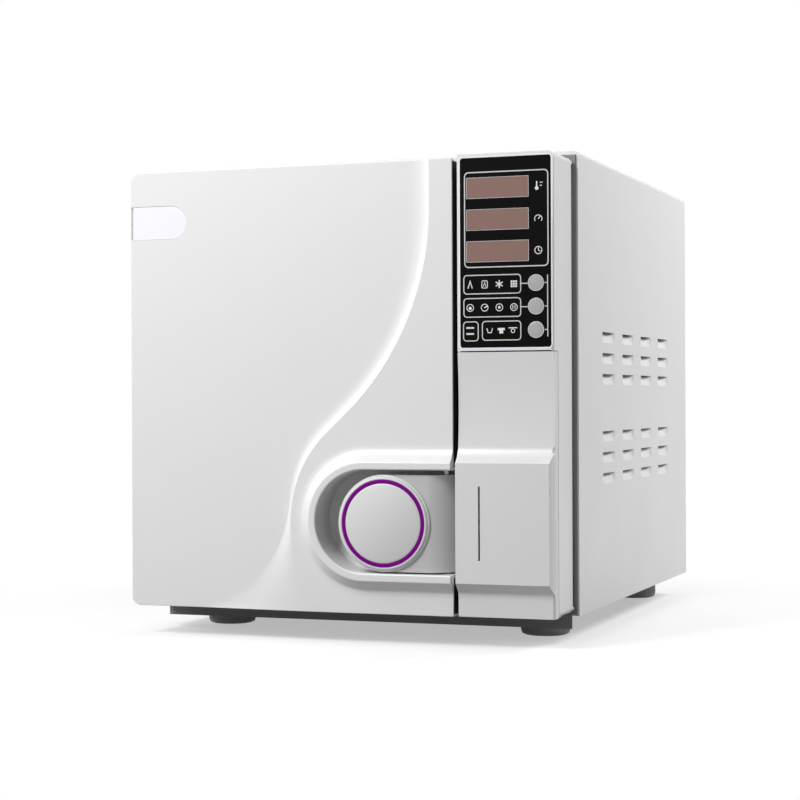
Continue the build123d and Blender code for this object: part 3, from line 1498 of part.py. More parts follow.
# Drain block with two hose nipples, and its tap
drain_front = rear_front - 32.0
drain_face = rear_front - 12.0
nipple_reach = 20.0
collar_end = cover_back + collar_proud
with BuildPart() as drain_fittings:
    box(-162, -108, drain_front, drain_face, nipple_places[0][1] - 12, tap_z + 10)
    for x, z in nipple_places:
        rod_y(x, z, drain_face, rear_front, collar_radius + 2)
        rod_y(x, z, drain_face, collar_end, collar_radius)
        rod_y(x, z, drain_face, collar_end + nipple_groove, nipple_radius - 0.6)
        rod_y(x, z, collar_end + nipple_groove, cover_back + nipple_reach, nipple_radius)
        rod_y(x, z, drain_front + 6, cover_back + nipple_reach + 1, 3, mode=Mode.SUBTRACT)
    rod_y(tap_x, tap_z, drain_face - 8, drain_face + 1, stem_radius + pivot_play, mode=Mode.SUBTRACT)
save(drain_fittings, "drain_fittings")

knob_gap = 3.0
with BuildPart() as drain_knob:
    rod_y(tap_x, tap_z, drain_face - 7, cover_back + knob_gap + 1, stem_radius)
    rod_y(tap_x, tap_z, cover_back + knob_gap, cover_back + knob_gap + 6, 12)
    box(tap_x - 11, tap_x + 11, cover_back + knob_gap + 5, cover_back + knob_gap + 13, tap_z - 3, tap_z + 3)
save(drain_knob, "drain_knob")

# Safety valve on the vessel's back, through the rear panel, with its test pull
bonnet_back = cover_back + 14.0
with BuildPart() as safety_valve:
    rod_y(axis_x, axis_z, vessel_back - chamber_wall, cover_back + 4, valve_radius)
    rod_y(axis_x, axis_z, lagging_back, lagging_back + 8, 13)
    rod_y(axis_x, axis_z, cover_back + 2, bonnet_back, 11)
    rod_y(axis_x, axis_z, bonnet_back - 8, bonnet_back + 1, 2.5 + pivot_play, mode=Mode.SUBTRACT)
save(safety_valve, "safety_valve")

with BuildPart() as safety_pull:
    rod_y(axis_x, axis_z, bonnet_back - 7, bonnet_back + 1, 2.5)
    rod_y(axis_x, axis_z, bonnet_back + 0.1, cover_back + rear_reach, 8)
save(safety_pull, "safety_pull")

# Copper pipes: steam feed, outlet to the condenser, condenser to pump, water feed
bend_radius = 12.0
steam_y = lagging_back + 20.0
outlet_y = wall_back + 6.0
suction_x = 160.0
suction_y = (condenser_ys[0] + condenser_ys[1]) / 2
head_y = (pump_front + pump_split) / 2
feed_turn_x = 75.0
feed_front_y = generator_front - 22.0
pipe_routes = [
    [
        (axis_x, generator_back + 6, generator_z),
        (axis_x, steam_y, generator_z),
        (axis_x, steam_y, inlet_z),
        (axis_x, vessel_back - chamber_wall, inlet_z),
    ],
    [
        (outlet_x, vessel_back - chamber_wall, outlet_z),
        (outlet_x, outlet_y, outlet_z),
        (125, outlet_y, outlet_z),
        (125, outlet_y, condenser_zs[0]),
    ],
    [
        (suction_x, suction_y, condenser_zs[0]),
        (suction_x, suction_y, pump_head_top + 22),
        (suction_x, head_y, pump_head_top + 22),
        (suction_x, head_y, pump_head_top),
    ],
    [
        (feed_port_x, feed_y, feed_z),
        (feed_turn_x, feed_y, feed_z),
        (feed_turn_x, feed_front_y, feed_z),
        (axis_x, feed_front_y, feed_z),
        (axis_x, generator_front - 6, feed_z),
    ],
]


def pipe(points):
    """Copper pipe of straight runs and round bends through the given points."""
    with BuildPart(mode=Mode.PRIVATE) as tube:
        with BuildLine():
            route = FilletPolyline(*points, radius=bend_radius)
        with BuildSketch(Plane(origin=route @ 0, z_dir=route % 0)):
            Circle(pipe_radius)
        sweep(path=route)
    return tube.part


pipes_made = [pipe(points) for points in pipe_routes]
with BuildPart() as copper_pipes:
    add(pipes_made)
save(copper_pipes, "copper_pipes")
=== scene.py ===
from math import atan2, cos, pi, radians, sin

import bmesh
import bpy
import numpy as np
from mathutils import Matrix, Vector


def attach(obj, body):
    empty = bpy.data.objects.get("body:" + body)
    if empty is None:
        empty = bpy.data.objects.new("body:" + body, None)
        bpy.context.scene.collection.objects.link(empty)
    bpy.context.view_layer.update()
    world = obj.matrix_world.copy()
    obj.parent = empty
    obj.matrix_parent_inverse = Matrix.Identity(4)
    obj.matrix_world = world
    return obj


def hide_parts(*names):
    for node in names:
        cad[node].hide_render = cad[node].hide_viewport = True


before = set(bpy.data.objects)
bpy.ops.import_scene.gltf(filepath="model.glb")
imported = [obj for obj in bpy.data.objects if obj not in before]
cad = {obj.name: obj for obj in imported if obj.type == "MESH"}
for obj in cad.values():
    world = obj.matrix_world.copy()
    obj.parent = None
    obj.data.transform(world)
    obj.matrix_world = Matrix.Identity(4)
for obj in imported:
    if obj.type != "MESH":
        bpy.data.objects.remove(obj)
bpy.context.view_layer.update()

# Sizes that the pieces below share with the machine, in millimetres. The machine faces -Y.
front = -250.0                                # raised part of the door, panel and service door
door_level = -245.0                           # low part of the door, on its left
door_left, door_right = -186.3, 101.9
door_low, door_high = 25.0, 393.4
door_rear = -207.0
side_x = 186.3                                # right side of the front frame
well_x, well_z, well_radius = 27.2, 100.5, 42.0
well_floor = -226.0
boss_front = -258.0                           # crest of the rim round the well
knob_x, knob_z, knob_radius = 44.0, 99.2, 39.5
knob_front, knob_back = -260.0, -253.0
disc_crown = 3.3                              # how far the middle of the cap stands out
key_x, key_zs = 171.8, (291.3, 272.75, 254.2)
rear_face = 236.0                             # back of the rear panel

# Looks that all finishes share
coat_roughness = 0.12
grain_depth = 0.0003                          # height of a full grain, in metres
edge_low, edge_high = 0.53, 0.60              # pointiness at which wear starts and is full

# How solids are joined up and shaded, in metres and degrees
weld_distance, flat_angle = 0.00003, 0.6
smooth_angle, flat_weight = 35, 80


def linear(text):
    """sRGB hex colour as linear red, green, blue and alpha."""
    parts = [int(text[i:i + 2], 16) / 255 for i in (1, 3, 5)]
    return [c / 12.92 if c <= 0.04045 else ((c + 0.055) / 1.055) ** 2.4 for c in parts] + [1.0]


def add_node(tree, kind, settings=None, **inputs):
    """Adds a shader node, sets its properties, and sets or links its inputs. An input is named by
    its label, or by n and its number."""
    node = tree.nodes.new(kind)
    for name, value in (settings or {}).items():
        setattr(node, name, value)
    for name, value in inputs.items():
        numbered = name[0] == "n" and name[1:].isdigit()
        key = int(name[1:]) if numbered else name.replace("_", " ")
        if isinstance(value, bpy.types.NodeSocket):
            tree.links.new(value, node.inputs[key])
        else:
            node.inputs[key].default_value = value
    return node


def maths(tree, operation, first, second):
    """Result of a maths node."""
    node = add_node(tree, "ShaderNodeMath", {"operation": operation}, n0=first, n1=second)
    return node.outputs[0]


def mixed(tree, share, first, second):
    """Colour between two others."""
    node = add_node(tree, "ShaderNodeMix", {"data_type": "RGBA"}, n0=share, n6=first, n7=second)
    return node.outputs[2]


def surface(name, colour, second, roughness, spread=0.05, metallic=0.0, ior=1.46, coat=0.0,
            grain_mm=0.6, grain=0.04, stretch=(1, 1, 1), cloud_mm=60.0, wear=None):
    """Solid finish: two close colours in soft clouds, a fine grain in the bump, and uneven gloss.
    Edges can show a colour of wear."""
    made = bpy.data.materials.new(name)
    made.use_nodes = True
    tree = made.node_tree
    shader = tree.nodes["Principled BSDF"]
    place = add_node(tree, "ShaderNodeTexCoord").outputs["Object"]
    turned = add_node(tree, "ShaderNodeMapping", Vector=place, Scale=stretch).outputs["Vector"]
    cloud = add_node(tree, "ShaderNodeTexNoise", Vector=turned, Scale=1000 / cloud_mm,
                     Detail=3.0).outputs["Fac"]
    fine = add_node(tree, "ShaderNodeTexNoise", Vector=turned, Scale=1000 / grain_mm,
                    Detail=2.0).outputs["Fac"]
    shade = mixed(tree, cloud, linear(colour), linear(second))
    if wear:
        rub = add_node(tree, "ShaderNodeNewGeometry").outputs["Pointiness"]
        edge = add_node(tree, "ShaderNodeMapRange", Value=rub, From_Min=edge_low,
                        From_Max=edge_high).outputs["Result"]
        shade = mixed(tree, maths(tree, "MULTIPLY", edge, fine), shade, linear(wear))
    tree.links.new(shade, shader.inputs["Base Color"])
    gloss = add_node(tree, "ShaderNodeMapRange", Value=cloud, From_Min=0.3, From_Max=0.7,
                     To_Min=roughness - spread, To_Max=roughness + spread)
    tree.links.new(gloss.outputs["Result"], shader.inputs["Roughness"])
    bump = add_node(tree, "ShaderNodeBump", Height=fine, Strength=grain, Distance=grain_depth)
    tree.links.new(bump.outputs["Normal"], shader.inputs["Normal"])
    shader.inputs["Metallic"].default_value = metallic
    if not metallic:
        shader.inputs["IOR"].default_value = ior
    shader.inputs["Coat Weight"].default_value = coat
    shader.inputs["Coat Roughness"].default_value = coat_roughness
    return made


# Injection-moulded ABS: even satin white with a very fine spark texture
white_abs = surface("white_moulded_abs", "#e9e9e9", "#e5e5e5", 0.36, 0.03, ior=1.53,
                    grain_mm=0.5, grain=0.03)
# The service flap's moulding is a shade greyer
flap_abs = surface("pearl_white_moulded_abs", "#e2e2e2", "#dedede", 0.37, 0.03, ior=1.53,
                   grain_mm=0.5, grain=0.03)
# So is the handle's cap, satin and very fine
disc_abs = surface("satin_white_moulded_abs", "#dcdcdc", "#d8d8d8", 0.38, 0.03, ior=1.53,
                   grain_mm=0.5, grain=0.03)
# Powder-coated steel sheet: slight orange peel, a little cooler than the plastic
white_coat = surface("white_powder_coated_steel", "#e6e6e6", "#e1e1e2", 0.40, 0.04, ior=1.5,
                     grain_mm=1.6, grain=0.08, cloud_mm=90.0)
# Pale grey moulded plastic of the handle's lever
grey_abs = surface("grey_moulded_abs", "#c8c8c9", "#bebebf", 0.36, 0.04, ior=1.53)
# Satin violet acrylic of the trim ring
violet_trim = surface("violet_satin_acrylic", "#7e0088", "#74007e", 0.5, 0.04, ior=1.2)
# Pale satin inlay in the bare name recess; the same pale also paints the highlight round the foil
pale_inlay_and_edge_highlight = surface("pale_satin_polycarbonate_and_edge_highlight", "#f5f4fb", "#f1f0fa", 0.36, 0.03, ior=1.5)
# Printed polyester foil over the panel: near black, fine matt texture
dark_foil = surface("printed_polyester_foil", "#080707", "#050505", 0.55, 0.04, ior=1.14,
                    grain_mm=0.35, grain=0.05)
# Clear brown window in the foil, with the unlit digits' grey behind it
window_tint = surface("tinted_display_window", "#8f7268", "#886b61", 0.21, 0.02, ior=1.45,
                      coat=0.2)
# White and grey screen-print on the foil
white_ink = surface("white_screen_print", "#ececec", "#e2e2e2", 0.5, 0.05, grain_mm=0.25)
grey_ink = surface("grey_screen_print", "#dadada", "#cecece", 0.5, 0.05, grain_mm=0.25)
# Light grey moulded key cap
key_grey = surface("grey_moulded_key", "#b4b4b5", "#a9a9aa", 0.4, 0.04, grain_mm=0.4, grain=0.08)
# Black glass-filled nylon, rubbed greyer at its edges
black_nylon = surface("black_moulded_nylon", "#1d1d1f", "#161617", 0.45, 0.06, ior=1.53,
                      grain_mm=0.7, grain=0.08, wear="#3a3a3c")
# Brushed stainless steel: long fine scratches along the machine's depth
stainless = surface("brushed_stainless_steel", "#c9cacc", "#bdbec0", 0.36, 0.05, metallic=1.0,
                    grain_mm=0.5, grain=0.10, stretch=(1, 0.04, 1), cloud_mm=40.0)
# Polished stainless steel of the pressure door
polished = surface("polished_stainless_steel", "#d2d3d5", "#c8c9cb", 0.16, 0.04, metallic=1.0,
                   grain_mm=0.8, grain=0.03)
# Zinc plating: bright bluish grey with soft cloudy patches
zinc = surface("zinc_plated_steel", "#b4b8bc", "#9ea3a8", 0.36, 0.08, metallic=1.0,
               grain_mm=1.2, grain=0.05, cloud_mm=18.0)
# Grey powder coat of the floor pan under the cabinet, made darker than its pale coat to paint in
# the shade under the cabinet
floor_pan_shade_grey = surface("floor_pan_coat_painted_shade", "#8c8c8d", "#808081", 0.5, 0.05, grain_mm=1.4,
                    grain=0.1)
# Grey thermoplastic rubber of the feet, dull, made near white: painted light that brightens the
# feet in the shade under the cabinet
foot_rubber_painted_light = surface("foot_rubber_painted_pale", "#ebebeb", "#dddddd", 0.62, 0.06,
                      grain_mm=0.8, grain=0.12)
# Black rubber of the paper roller; the same black paints the shade in the gap along the door's free
# edge
black_rubber = surface("black_rubber", "#0d0d0d", "#131313", 0.7, 0.06, ior=1.3, grain_mm=0.6,
                       grain=0.1)
# Painted shade: flat grey for the strip that darkens the seam behind the front frame
seam_shade_grey = surface("painted_seam_shade_grey", "#8e8e8f", "#858586", 0.7, 0.06, ior=1.3,
                      grain_mm=0.6, grain=0.1)
# Cream silicone of the door seal
silicone = surface("cream_silicone_rubber", "#d9d2c2", "#cdc5b3", 0.5, 0.06, grain_mm=0.9,
                   grain=0.05)
# Natural polyethylene tank, waxy
tank_plastic = surface("natural_polyethylene", "#e3e4e0", "#d9dad6", 0.44, 0.06, ior=1.51,
                       cloud_mm=35.0)
# Glass-wool lagging with its aluminium face: crinkled foil
foil_face = surface("aluminium_faced_glass_wool", "#c4c6c8", "#a9abae", 0.35, 0.1, metallic=1.0,
                    grain_mm=5.0, grain=0.5, cloud_mm=14.0)
# Mica band heater in a dull steel jacket
band_steel = surface("oxidised_band_steel", "#8c8679", "#776f60", 0.45, 0.08, metallic=1.0,
                     cloud_mm=20.0)
# Clear anodised aluminium trays, finely etched
tray_metal = surface("anodised_aluminium", "#cfd0d2", "#c3c4c7", 0.34, 0.05, metallic=1.0,
                     grain_mm=0.4, grain=0.08)
# Bare mill-finish aluminium fins
fin_metal = surface("mill_finish_aluminium", "#c2c4c6", "#b1b3b6", 0.4, 0.08, metallic=1.0,
                    grain_mm=0.5, grain=0.1, stretch=(1, 1, 0.1))
# Turned brass with fine lathe lines
brass = surface("turned_brass", "#c9a86a", "#b8945a", 0.35, 0.04, metallic=1.0, grain_mm=0.4,
                grain=0.1, stretch=(1, 6, 1), cloud_mm=12.0)
# Drawn copper pipe, slightly tarnished
copper = surface("drawn_copper_pipe", "#c77f5a", "#a96a4b", 0.37, 0.06, metallic=1.0,
                 cloud_mm=22.0)
# Red moulded tap knob
red_plastic = surface("red_moulded_abs", "#9e1b16", "#8c1511", 0.34, 0.04, ior=1.53)
# Black stove enamel of the motors
motor_enamel = surface("black_stove_enamel", "#232326", "#1a1a1c", 0.42, 0.06, grain_mm=1.4,
                       grain=0.15)
# Glass-fibre circuit board under green solder mask
solder_mask = surface("green_solder_mask", "#1c5a36", "#17492c", 0.38, 0.06, grain_mm=1.0,
                      grain=0.12, cloud_mm=9.0)
# White polypropylene filter housing
filter_white = surface("white_polypropylene", "#e9e9e6", "#dededb", 0.42, 0.05)
# Thermal paper: smooth, faintly fibrous
paper = surface("thermal_paper", "#f1f0ea", "#e8e7e0", 0.6, 0.05, grain_mm=0.3, grain=0.08)

finishes = {
    white_abs: ["front_frame", "door_cover", "handle_cap", "tank_lid"],
    flap_abs: ["service_door"],
    white_coat: ["cabinet_cover", "rear_panel"],
    grey_abs: ["handle_lever"],
    violet_trim: ["handle_ring"],
    pale_inlay_and_edge_highlight: ["badge_inlay"],
    dark_foil: ["membrane_panel"],
    window_tint: ["display_windows"],
    key_grey: ["key_program", "key_start", "key_test"],
    black_nylon: ["door_liner", "printer_case", "fan_housing", "fan_rotor", "mains_inlet",
                  "fuse_holders", "switch_body", "switch_rocker"],
    stainless: ["chamber", "steam_generator", "temperature_probe", "tray_rack", "handle_pin",
                "door_hinge_pins", "service_hinge_pins"],
    polished: ["pressure_door"],
    zinc: ["door_bridge", "lock_bar", "lock_keepers", "front_bulkhead", "inner_wall",
           "flange_bolts", "saddles", "power_supply"],
    floor_pan_shade_grey: ["base_tray"],
    foot_rubber_painted_light: ["feet"],
    black_rubber: ["platen_roller"],
    silicone: ["door_gasket"],
    tank_plastic: ["water_tank"],
    foil_face: ["lagging"],
    band_steel: ["heater_bands"],
    tray_metal: ["trays"],
    fin_metal: ["condenser"],
    brass: ["valve_manifold", "drain_fittings", "safety_valve", "safety_pull"],
    copper: ["copper_pipes"],
    red_plastic: ["drain_knob"],
    motor_enamel: ["vacuum_pump", "water_pump"],
    solder_mask: ["control_board", "display_board"],
    filter_white: ["air_filter"],
    paper: ["paper_roll"],
}
for finish, names in finishes.items():
    for name in names:
        for material_slot in cad[name].material_slots:
            material_slot.material = finish


def only(piece):
    """Makes one piece the whole selection."""
    bpy.ops.object.select_all(action="DESELECT")
    piece.select_set(True)
    bpy.context.view_layer.objects.active = piece


def mesh_piece(name, points, faces, finish):
    """New mesh from points in millimetres."""
    mesh = bpy.data.meshes.new(name)
    mesh.from_pydata([(x / 1000, y / 1000, z / 1000) for x, y, z in points], [], faces)
    mesh.materials.append(finish)
    piece = bpy.data.objects.new(name, mesh)
    bpy.context.scene.collection.objects.link(piece)
    return piece


def faced_out(piece):
    """Turns every face of a closed piece outward."""
    only(piece)
    bpy.ops.object.mode_set(mode="EDIT")
    bpy.ops.mesh.select_all(action="SELECT")
    bpy.ops.mesh.normals_make_consistent(inside=False)
    bpy.ops.object.mode_set(mode="OBJECT")
    return piece


def bevelled(piece, width, angle, segments, outer="MITER_ARC"):
    """Rolls over a piece's edges that are sharper than an angle in degrees."""
    only(piece)
    bevel = piece.modifiers.new("edges", "BEVEL")
    bevel.width = width / 1000
    bevel.segments = segments
    bevel.limit_method = "ANGLE"
    bevel.angle_limit = radians(angle)
    bevel.miter_outer = outer
    bpy.ops.object.modifier_apply(modifier=bevel.name)


def rounded(piece, width=0.0, angle=30.0, segments=3):
    """Rolls a piece's sharp edges over, and shades it smooth with its flats kept flat."""
    if width:
        bevelled(piece, width, angle, segments)
    only(piece)
    bpy.ops.object.shade_smooth_by_angle(angle=radians(smooth_angle))
    weigh = piece.modifiers.new("flats", "WEIGHTED_NORMAL")
    weigh.keep_sharp = True
    weigh.weight = flat_weight
    bpy.ops.object.modifier_apply(modifier=weigh.name)
    return piece


def cut(piece, *tools, operation="DIFFERENCE"):
    """Cuts closed shapes out of a piece, or joins them to it, and removes them."""
    for tool in tools:
        only(piece)
        boolean = piece.modifiers.new("cut", "BOOLEAN")
        boolean.operation = operation
        boolean.solver = "EXACT"
        boolean.object = tool
        bpy.ops.object.modifier_apply(modifier=boolean.name)
        bpy.data.objects.remove(tool)


def softened(node, name, width, finish, shape):
    """Copy of a solid's mesh with its flats joined up, its open mesh shaped further, and its
    edges rolled over."""
    piece = cad[node].copy()
    piece.data = cad[node].data.copy()
    piece.name = name
    piece.parent = None
    for key in list(piece.keys()):
        del piece[key]
    bpy.context.scene.collection.objects.link(piece)
    piece.data.materials.clear()
    piece.data.materials.append(finish)
    only(piece)
    bpy.ops.object.mode_set(mode="EDIT")
    bpy.ops.mesh.select_all(action="SELECT")
    bpy.ops.mesh.remove_doubles(threshold=weld_distance)
    bpy.ops.mesh.dissolve_limited(angle_limit=radians(flat_angle))
    bpy.ops.object.mode_set(mode="OBJECT")
    if shape:
        mesh = bmesh.new()
        mesh.from_mesh(piece.data)
        shape(mesh)
        mesh.to_mesh(piece.data)
        mesh.free()
    return rounded(piece, width, angle=40.0, segments=2)


def block(name, low, high, finish):
    """Plain closed box between two corners."""
    (a, b, c), (d, e, f) = low, high
    points = [(a, b, c), (d, b, c), (d, e, c), (a, e, c),
              (a, b, f), (d, b, f), (d, e, f), (a, e, f)]
    faces = [(3, 2, 1, 0), (4, 5, 6, 7), (0, 1, 5, 4), (1, 2, 6, 5), (2, 3, 7, 6), (3, 0, 4, 7)]
    return mesh_piece(name, points, faces, finish)


def arc(cx, cz, radius, angles):
    """Places round a centre, seen from the front, at angles in radians."""
    return [(cx + radius * cos(a), cz + radius * sin(a)) for a in angles]


def whole_turn(steps):
    """Angles once round."""
    return [2 * pi * i / steps for i in range(steps)]


def eased(share):
    """Smooth step from 0 to 1."""
    return share ** 2 * (3 - 2 * share)


def grid_faces(rows, columns, start=0):
    """Faces of a grid whose points run row by row."""
    corners = [start + row * columns + column
               for row in range(rows - 1) for column in range(columns - 1)]
    return [(a, a + 1, a + columns + 1, a + columns) for a in corners]


def grid_rim(rows, columns):
    """Points once round a grid: first row, last column, last row, first column."""
    rim = list(range(columns))
    rim += [row * columns + columns - 1 for row in range(1, rows)]
    rim += [(rows - 1) * columns + column for column in range(columns - 2, -1, -1)]
    rim += [row * columns for row in range(rows - 2, 0, -1)]
    return rim


def lathe(name, profile, centre, finish, steps=96):
    """Closed turned shape on an axis that runs front to back. The profile is (radius, depth)
    pairs from the axis at the front to the axis at the back."""
    x, z = centre
    points, faces, rings = [], [], []
    for radius, y in profile:
        if radius < 1e-6:
            rings.append([len(points)])
            points.append((x, y, z))
        else:
            rings.append(list(range(len(points), len(points) + steps)))
            points += [(px, y, pz) for px, pz in arc(x, z, radius, whole_turn(steps))]
    for a, b in zip(rings, rings[1:]):
        for i in range(steps):
            j = (i + 1) % steps
            if len(a) == 1:
                faces.append((a[0], b[i], b[j]))
            elif len(b) == 1:
                faces.append((a[i], b[0], a[j]))
            else:
                faces.append((a[i], b[i], b[j], a[j]))
    return faced_out(mesh_piece(name, points, faces, finish))


def ring_piece(name, profile, centre, finish, steps):
    """Closed ring on an axis that runs front to back, from the outline of its section."""
    (x, z), n = centre, len(profile)
    points, faces = [], []
    for a in whole_turn(steps):
        points += [(x + radius * cos(a), y, z + radius * sin(a)) for radius, y in profile]
    for i in range(steps):
        for k in range(n):
            j, m = (i + 1) % steps, (k + 1) % n
            faces.append((i * n + k, i * n + m, j * n + m, j * n + k))
    return rounded(faced_out(mesh_piece(name, points, faces, finish)))


def track(radius, right):
    """Outline of the handle well at a radius: round on the left, straight out to the right."""
    steps = 64
    bend = arc(well_x, well_z, radius, [pi / 2 + pi * i / steps for i in range(steps + 1)])
    return [(right, well_z + radius)] + bend + [(right, well_z - radius)]


def track_stack(name, levels, right, finish):
    """Closed stack of well outlines: levels are (radius, depth) from front to back, or (radius,
    depth above the well, depth below it)."""
    points, faces = [], []
    size = len(track(1, right))
    low_share = np.concatenate([[0], eased(np.linspace(0, 1, size - 2)), [1]])
    for radius, *depths in levels:
        points += [(x, depths[0] + (depths[-1] - depths[0]) * share, z)
                   for (x, z), share in zip(track(radius, right), low_share)]
    for level in range(len(levels) - 1):
        for i in range(size):
            j = (i + 1) % size
            a, b = level * size, (level + 1) * size
            faces.append((a + i, a + j, b + j, b + i))
    faces.append(tuple(range(size)))
    faces.append(tuple((len(levels) - 1) * size + i for i in reversed(range(size))))
    return faced_out(mesh_piece(name, points, faces, finish))


def step_line(top_x, bend_z, upper, turn, run, lower, foot_x):
    """Points down the door's S: straight, an arc to the left, straight, an arc back to upright,
    and a last arc to the foot. The arcs have radius upper and lower, and turn by turn degrees."""
    bend = [radians(a) for a in np.linspace(0, turn, 40)]
    points = [(top_x, door_high + 5), (top_x, bend_z)]
    points += arc(top_x - upper, bend_z, upper, [-a for a in bend])
    heading = radians(-90 - turn)
    x, z = points[-1]
    x, z = x + run * cos(heading), z + run * sin(heading)
    points.append((x, z))
    cx, cz = x - lower * sin(heading), z + lower * cos(heading)
    start = atan2(z - cz, x - cx)
    points += arc(cx, cz, lower, [start + a for a in bend])
    x, z = points[-1]
    dx, dz = foot_x - x, door_low - z
    radius = (dx * dx + dz * dz) / (2 * dx)
    cx = x + radius
    first = pi if radius > 0 else 0.0
    last = atan2(door_low - z, foot_x - cx)
    if radius > 0 and last < 0:
        last += 2 * pi
    points += arc(cx, z, abs(radius), np.linspace(first, last, 40))
    points.append((foot_x, door_low - 5))
    return np.array(points)


# Below the well and the printer the raised parts fall back in a straight slope with a small foot:
# distances from the crest, and how far the slope stands out there
slope_reach = 13.0
low_slope = ((0, 0.5, 7.8, 8.8, 10.3, 11.8, slope_reach),
             (-7.8, -7.35, -0.85, -0.5, -0.22, -0.07, 0))


def across(low, high, count, fine):
    """Row of places from low to high, the first ten close together within a fine distance."""
    start = np.linspace(low, low + fine, 11)[:-1]
    return np.concatenate([start, np.linspace(low + fine, high, count - 10)])


def door_face():
    """Front of the door: a low level on the left that swells up to the raised right side. One
    column of the grid follows the foot of the swell and one its crest, so that the crest is a
    clean line. Low down the swell is broad and soft."""
    flare, radius = 2.7, 8.0                 # the left edge's flare and its corners' radius
    fine, half_rows = 9.0, 120
    low_columns, swell_columns, raised_columns = 38, 26, 40
    broad_z, crisp_over = 75, 55             # the swell is broad below, and crisp this far above
    left = door_left - flare
    toe = step_line(top_x=62.4, bend_z=345.0, upper=200.0, turn=45.0, run=32.0, lower=82.0,
                    foot_x=-130.0)
    crest = step_line(top_x=82.5, bend_z=355.0, upper=227.0, turn=47.0, run=25.0, lower=100.0,
                      foot_x=-20.0)
    mid = (door_low + door_high) / 2
    zs = np.concatenate([across(door_low, mid, half_rows, fine),
                         across(door_high, mid, half_rows, -fine)[::-1][1:]])
    points = []
    for z in zs:
        toe_x = np.interp(z, toe[::-1, 1], toe[::-1, 0])
        crest_x = np.interp(z, crest[::-1, 1], crest[::-1, 0])
        xs = np.concatenate([across(left, toe_x, low_columns, fine),
                             np.linspace(toe_x, crest_x, swell_columns)[1:],
                             np.linspace(crest_x, door_right, raised_columns)[1:]])
        share = np.clip((xs - toe_x) / (crest_x - toe_x), 0, 1)
        crisp = np.clip((z - broad_z) / crisp_over, 0, 1)
        rise = crisp * share ** 3 + (1 - crisp) * eased(share)
        for x, y in zip(xs, door_level + (front - door_level) * rise):
            u = (left + radius - x) / radius
            v = ((door_low + radius - z) if z < mid else (z - door_high + radius)) / radius
            if u > 0 and v > 0:
                shrink = radius * max(u, v) / (u * u + v * v) ** 0.5
                corner_z = (door_low + radius - v * shrink if z < mid
                            else door_high - radius + v * shrink)
                points.append((left + radius - u * shrink, y, corner_z))
            else:
                points.append((x, y, z))
    rows, columns = len(zs), len(xs)
    faces, rim = grid_faces(rows, columns), grid_rim(rows, columns)
    start, squeeze = len(points), (door_right - door_left) / (door_right - left)
    points += [(door_right - (door_right - points[i][0]) * squeeze, door_rear, points[i][2])
               for i in rim]
    for k in range(len(rim)):
        j = (k + 1) % len(rim)
        faces.append((rim[j], rim[k], start + k, start + j))
    faces.append(tuple(start + k for k in reversed(range(len(rim)))))
    return mesh_piece("door_shell", points, faces, white_abs)


def door_shell():
    """The door cover: shaped front, raised rim round the well, hollow back, and its pockets."""
    crest, rise = 48.4, 7.6                  # outside of the rim's crest, and its height
    mouth_round, wall = 1.4, 3.0
    slot_low, slot_high = (71.0, 95.5), (96.8, 105.5)
    badge_x, badge_z, badge_half = -151.15, 350.35, 14.15
    bolt_y, bolt_zs, bolt_half = -214.0, (155.0, 300.0), 4.3
    hinge_x, hinge_front, hinge_zs, hinge_length = -175.5, -212.0, (88.2, 278.2), 52
    piece = door_face()
    bevelled(piece, 1.1, angle=60, segments=3, outer="MITER_SHARP")
    rim = [(crest - 1.0, boss_front, boss_front),
           (crest - 0.5, boss_front + 0.08, boss_front + 0.1)]
    rim += [(crest + out, front - rise * (1 - out / slope_reach) ** 2,
             front + np.interp(out, *low_slope))
            for out in (0.0, 0.5, 1.2, 2, 3, 4, 5, 6, 7, 7.8, 8.8, 9.8, 11.2, slope_reach)]
    rim += [(crest + slope_reach, front + 1.0, front + 1.0)]
    boss = track_stack("boss", rim, door_right - 0.01, white_abs)
    cut(piece, boss, operation="UNION")
    mouth = [(well_radius + mouth_round, boss_front - 2), (well_radius + mouth_round, boss_front)]
    mouth += [(well_radius + mouth_round * (1 - sin(a)), boss_front + mouth_round * (1 - cos(a)))
              for a in np.linspace(0.3, pi / 2, 5)]
    mouth += [(well_radius, well_floor)]
    well = track_stack("well", mouth, door_right + 5, white_abs)
    hollow = block("hollow", (door_left + wall, door_level + wall, door_low + wall),
                   (door_right - wall, door_rear + wall, door_high - wall), white_abs)
    sleeve = track_stack("sleeve", [(well_radius + wall, boss_front),
                                    (well_radius + wall, well_floor + wall)],
                         door_right - wall + 1, white_abs)
    cut(hollow, sleeve)
    cut(piece, hollow, well)
    slot = block("slot", (slot_low[0], well_floor - 1, slot_low[1]),
                 (slot_high[0], well_floor + 4, slot_high[1]), white_abs)
    badge = block("badge", (door_left - 2, door_level - 1, badge_z - badge_half),
                  (badge_x, door_level + 1, badge_z + badge_half), white_abs)
    badge_end = lathe("badge_end", [(0, door_level - 1), (badge_half, door_level - 1),
                                    (badge_half, door_level + 1), (0, door_level + 1)],
                      (badge_x, badge_z), white_abs)
    cut(piece, slot, badge, badge_end)
    for z in bolt_zs:
        cut(piece, block("bolt_hole", (door_right - 6, bolt_y - bolt_half, z - bolt_half),
                         (door_right + 1, bolt_y + bolt_half, z + bolt_half), white_abs))
    for z in hinge_zs:
        cut(piece, block("pocket", (door_left - 2, hinge_front, z - 1),
                         (hinge_x, door_rear + 2, z + 1 + hinge_length), white_abs))
    rounded(piece)
    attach(piece, "door")
    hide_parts("door_cover")


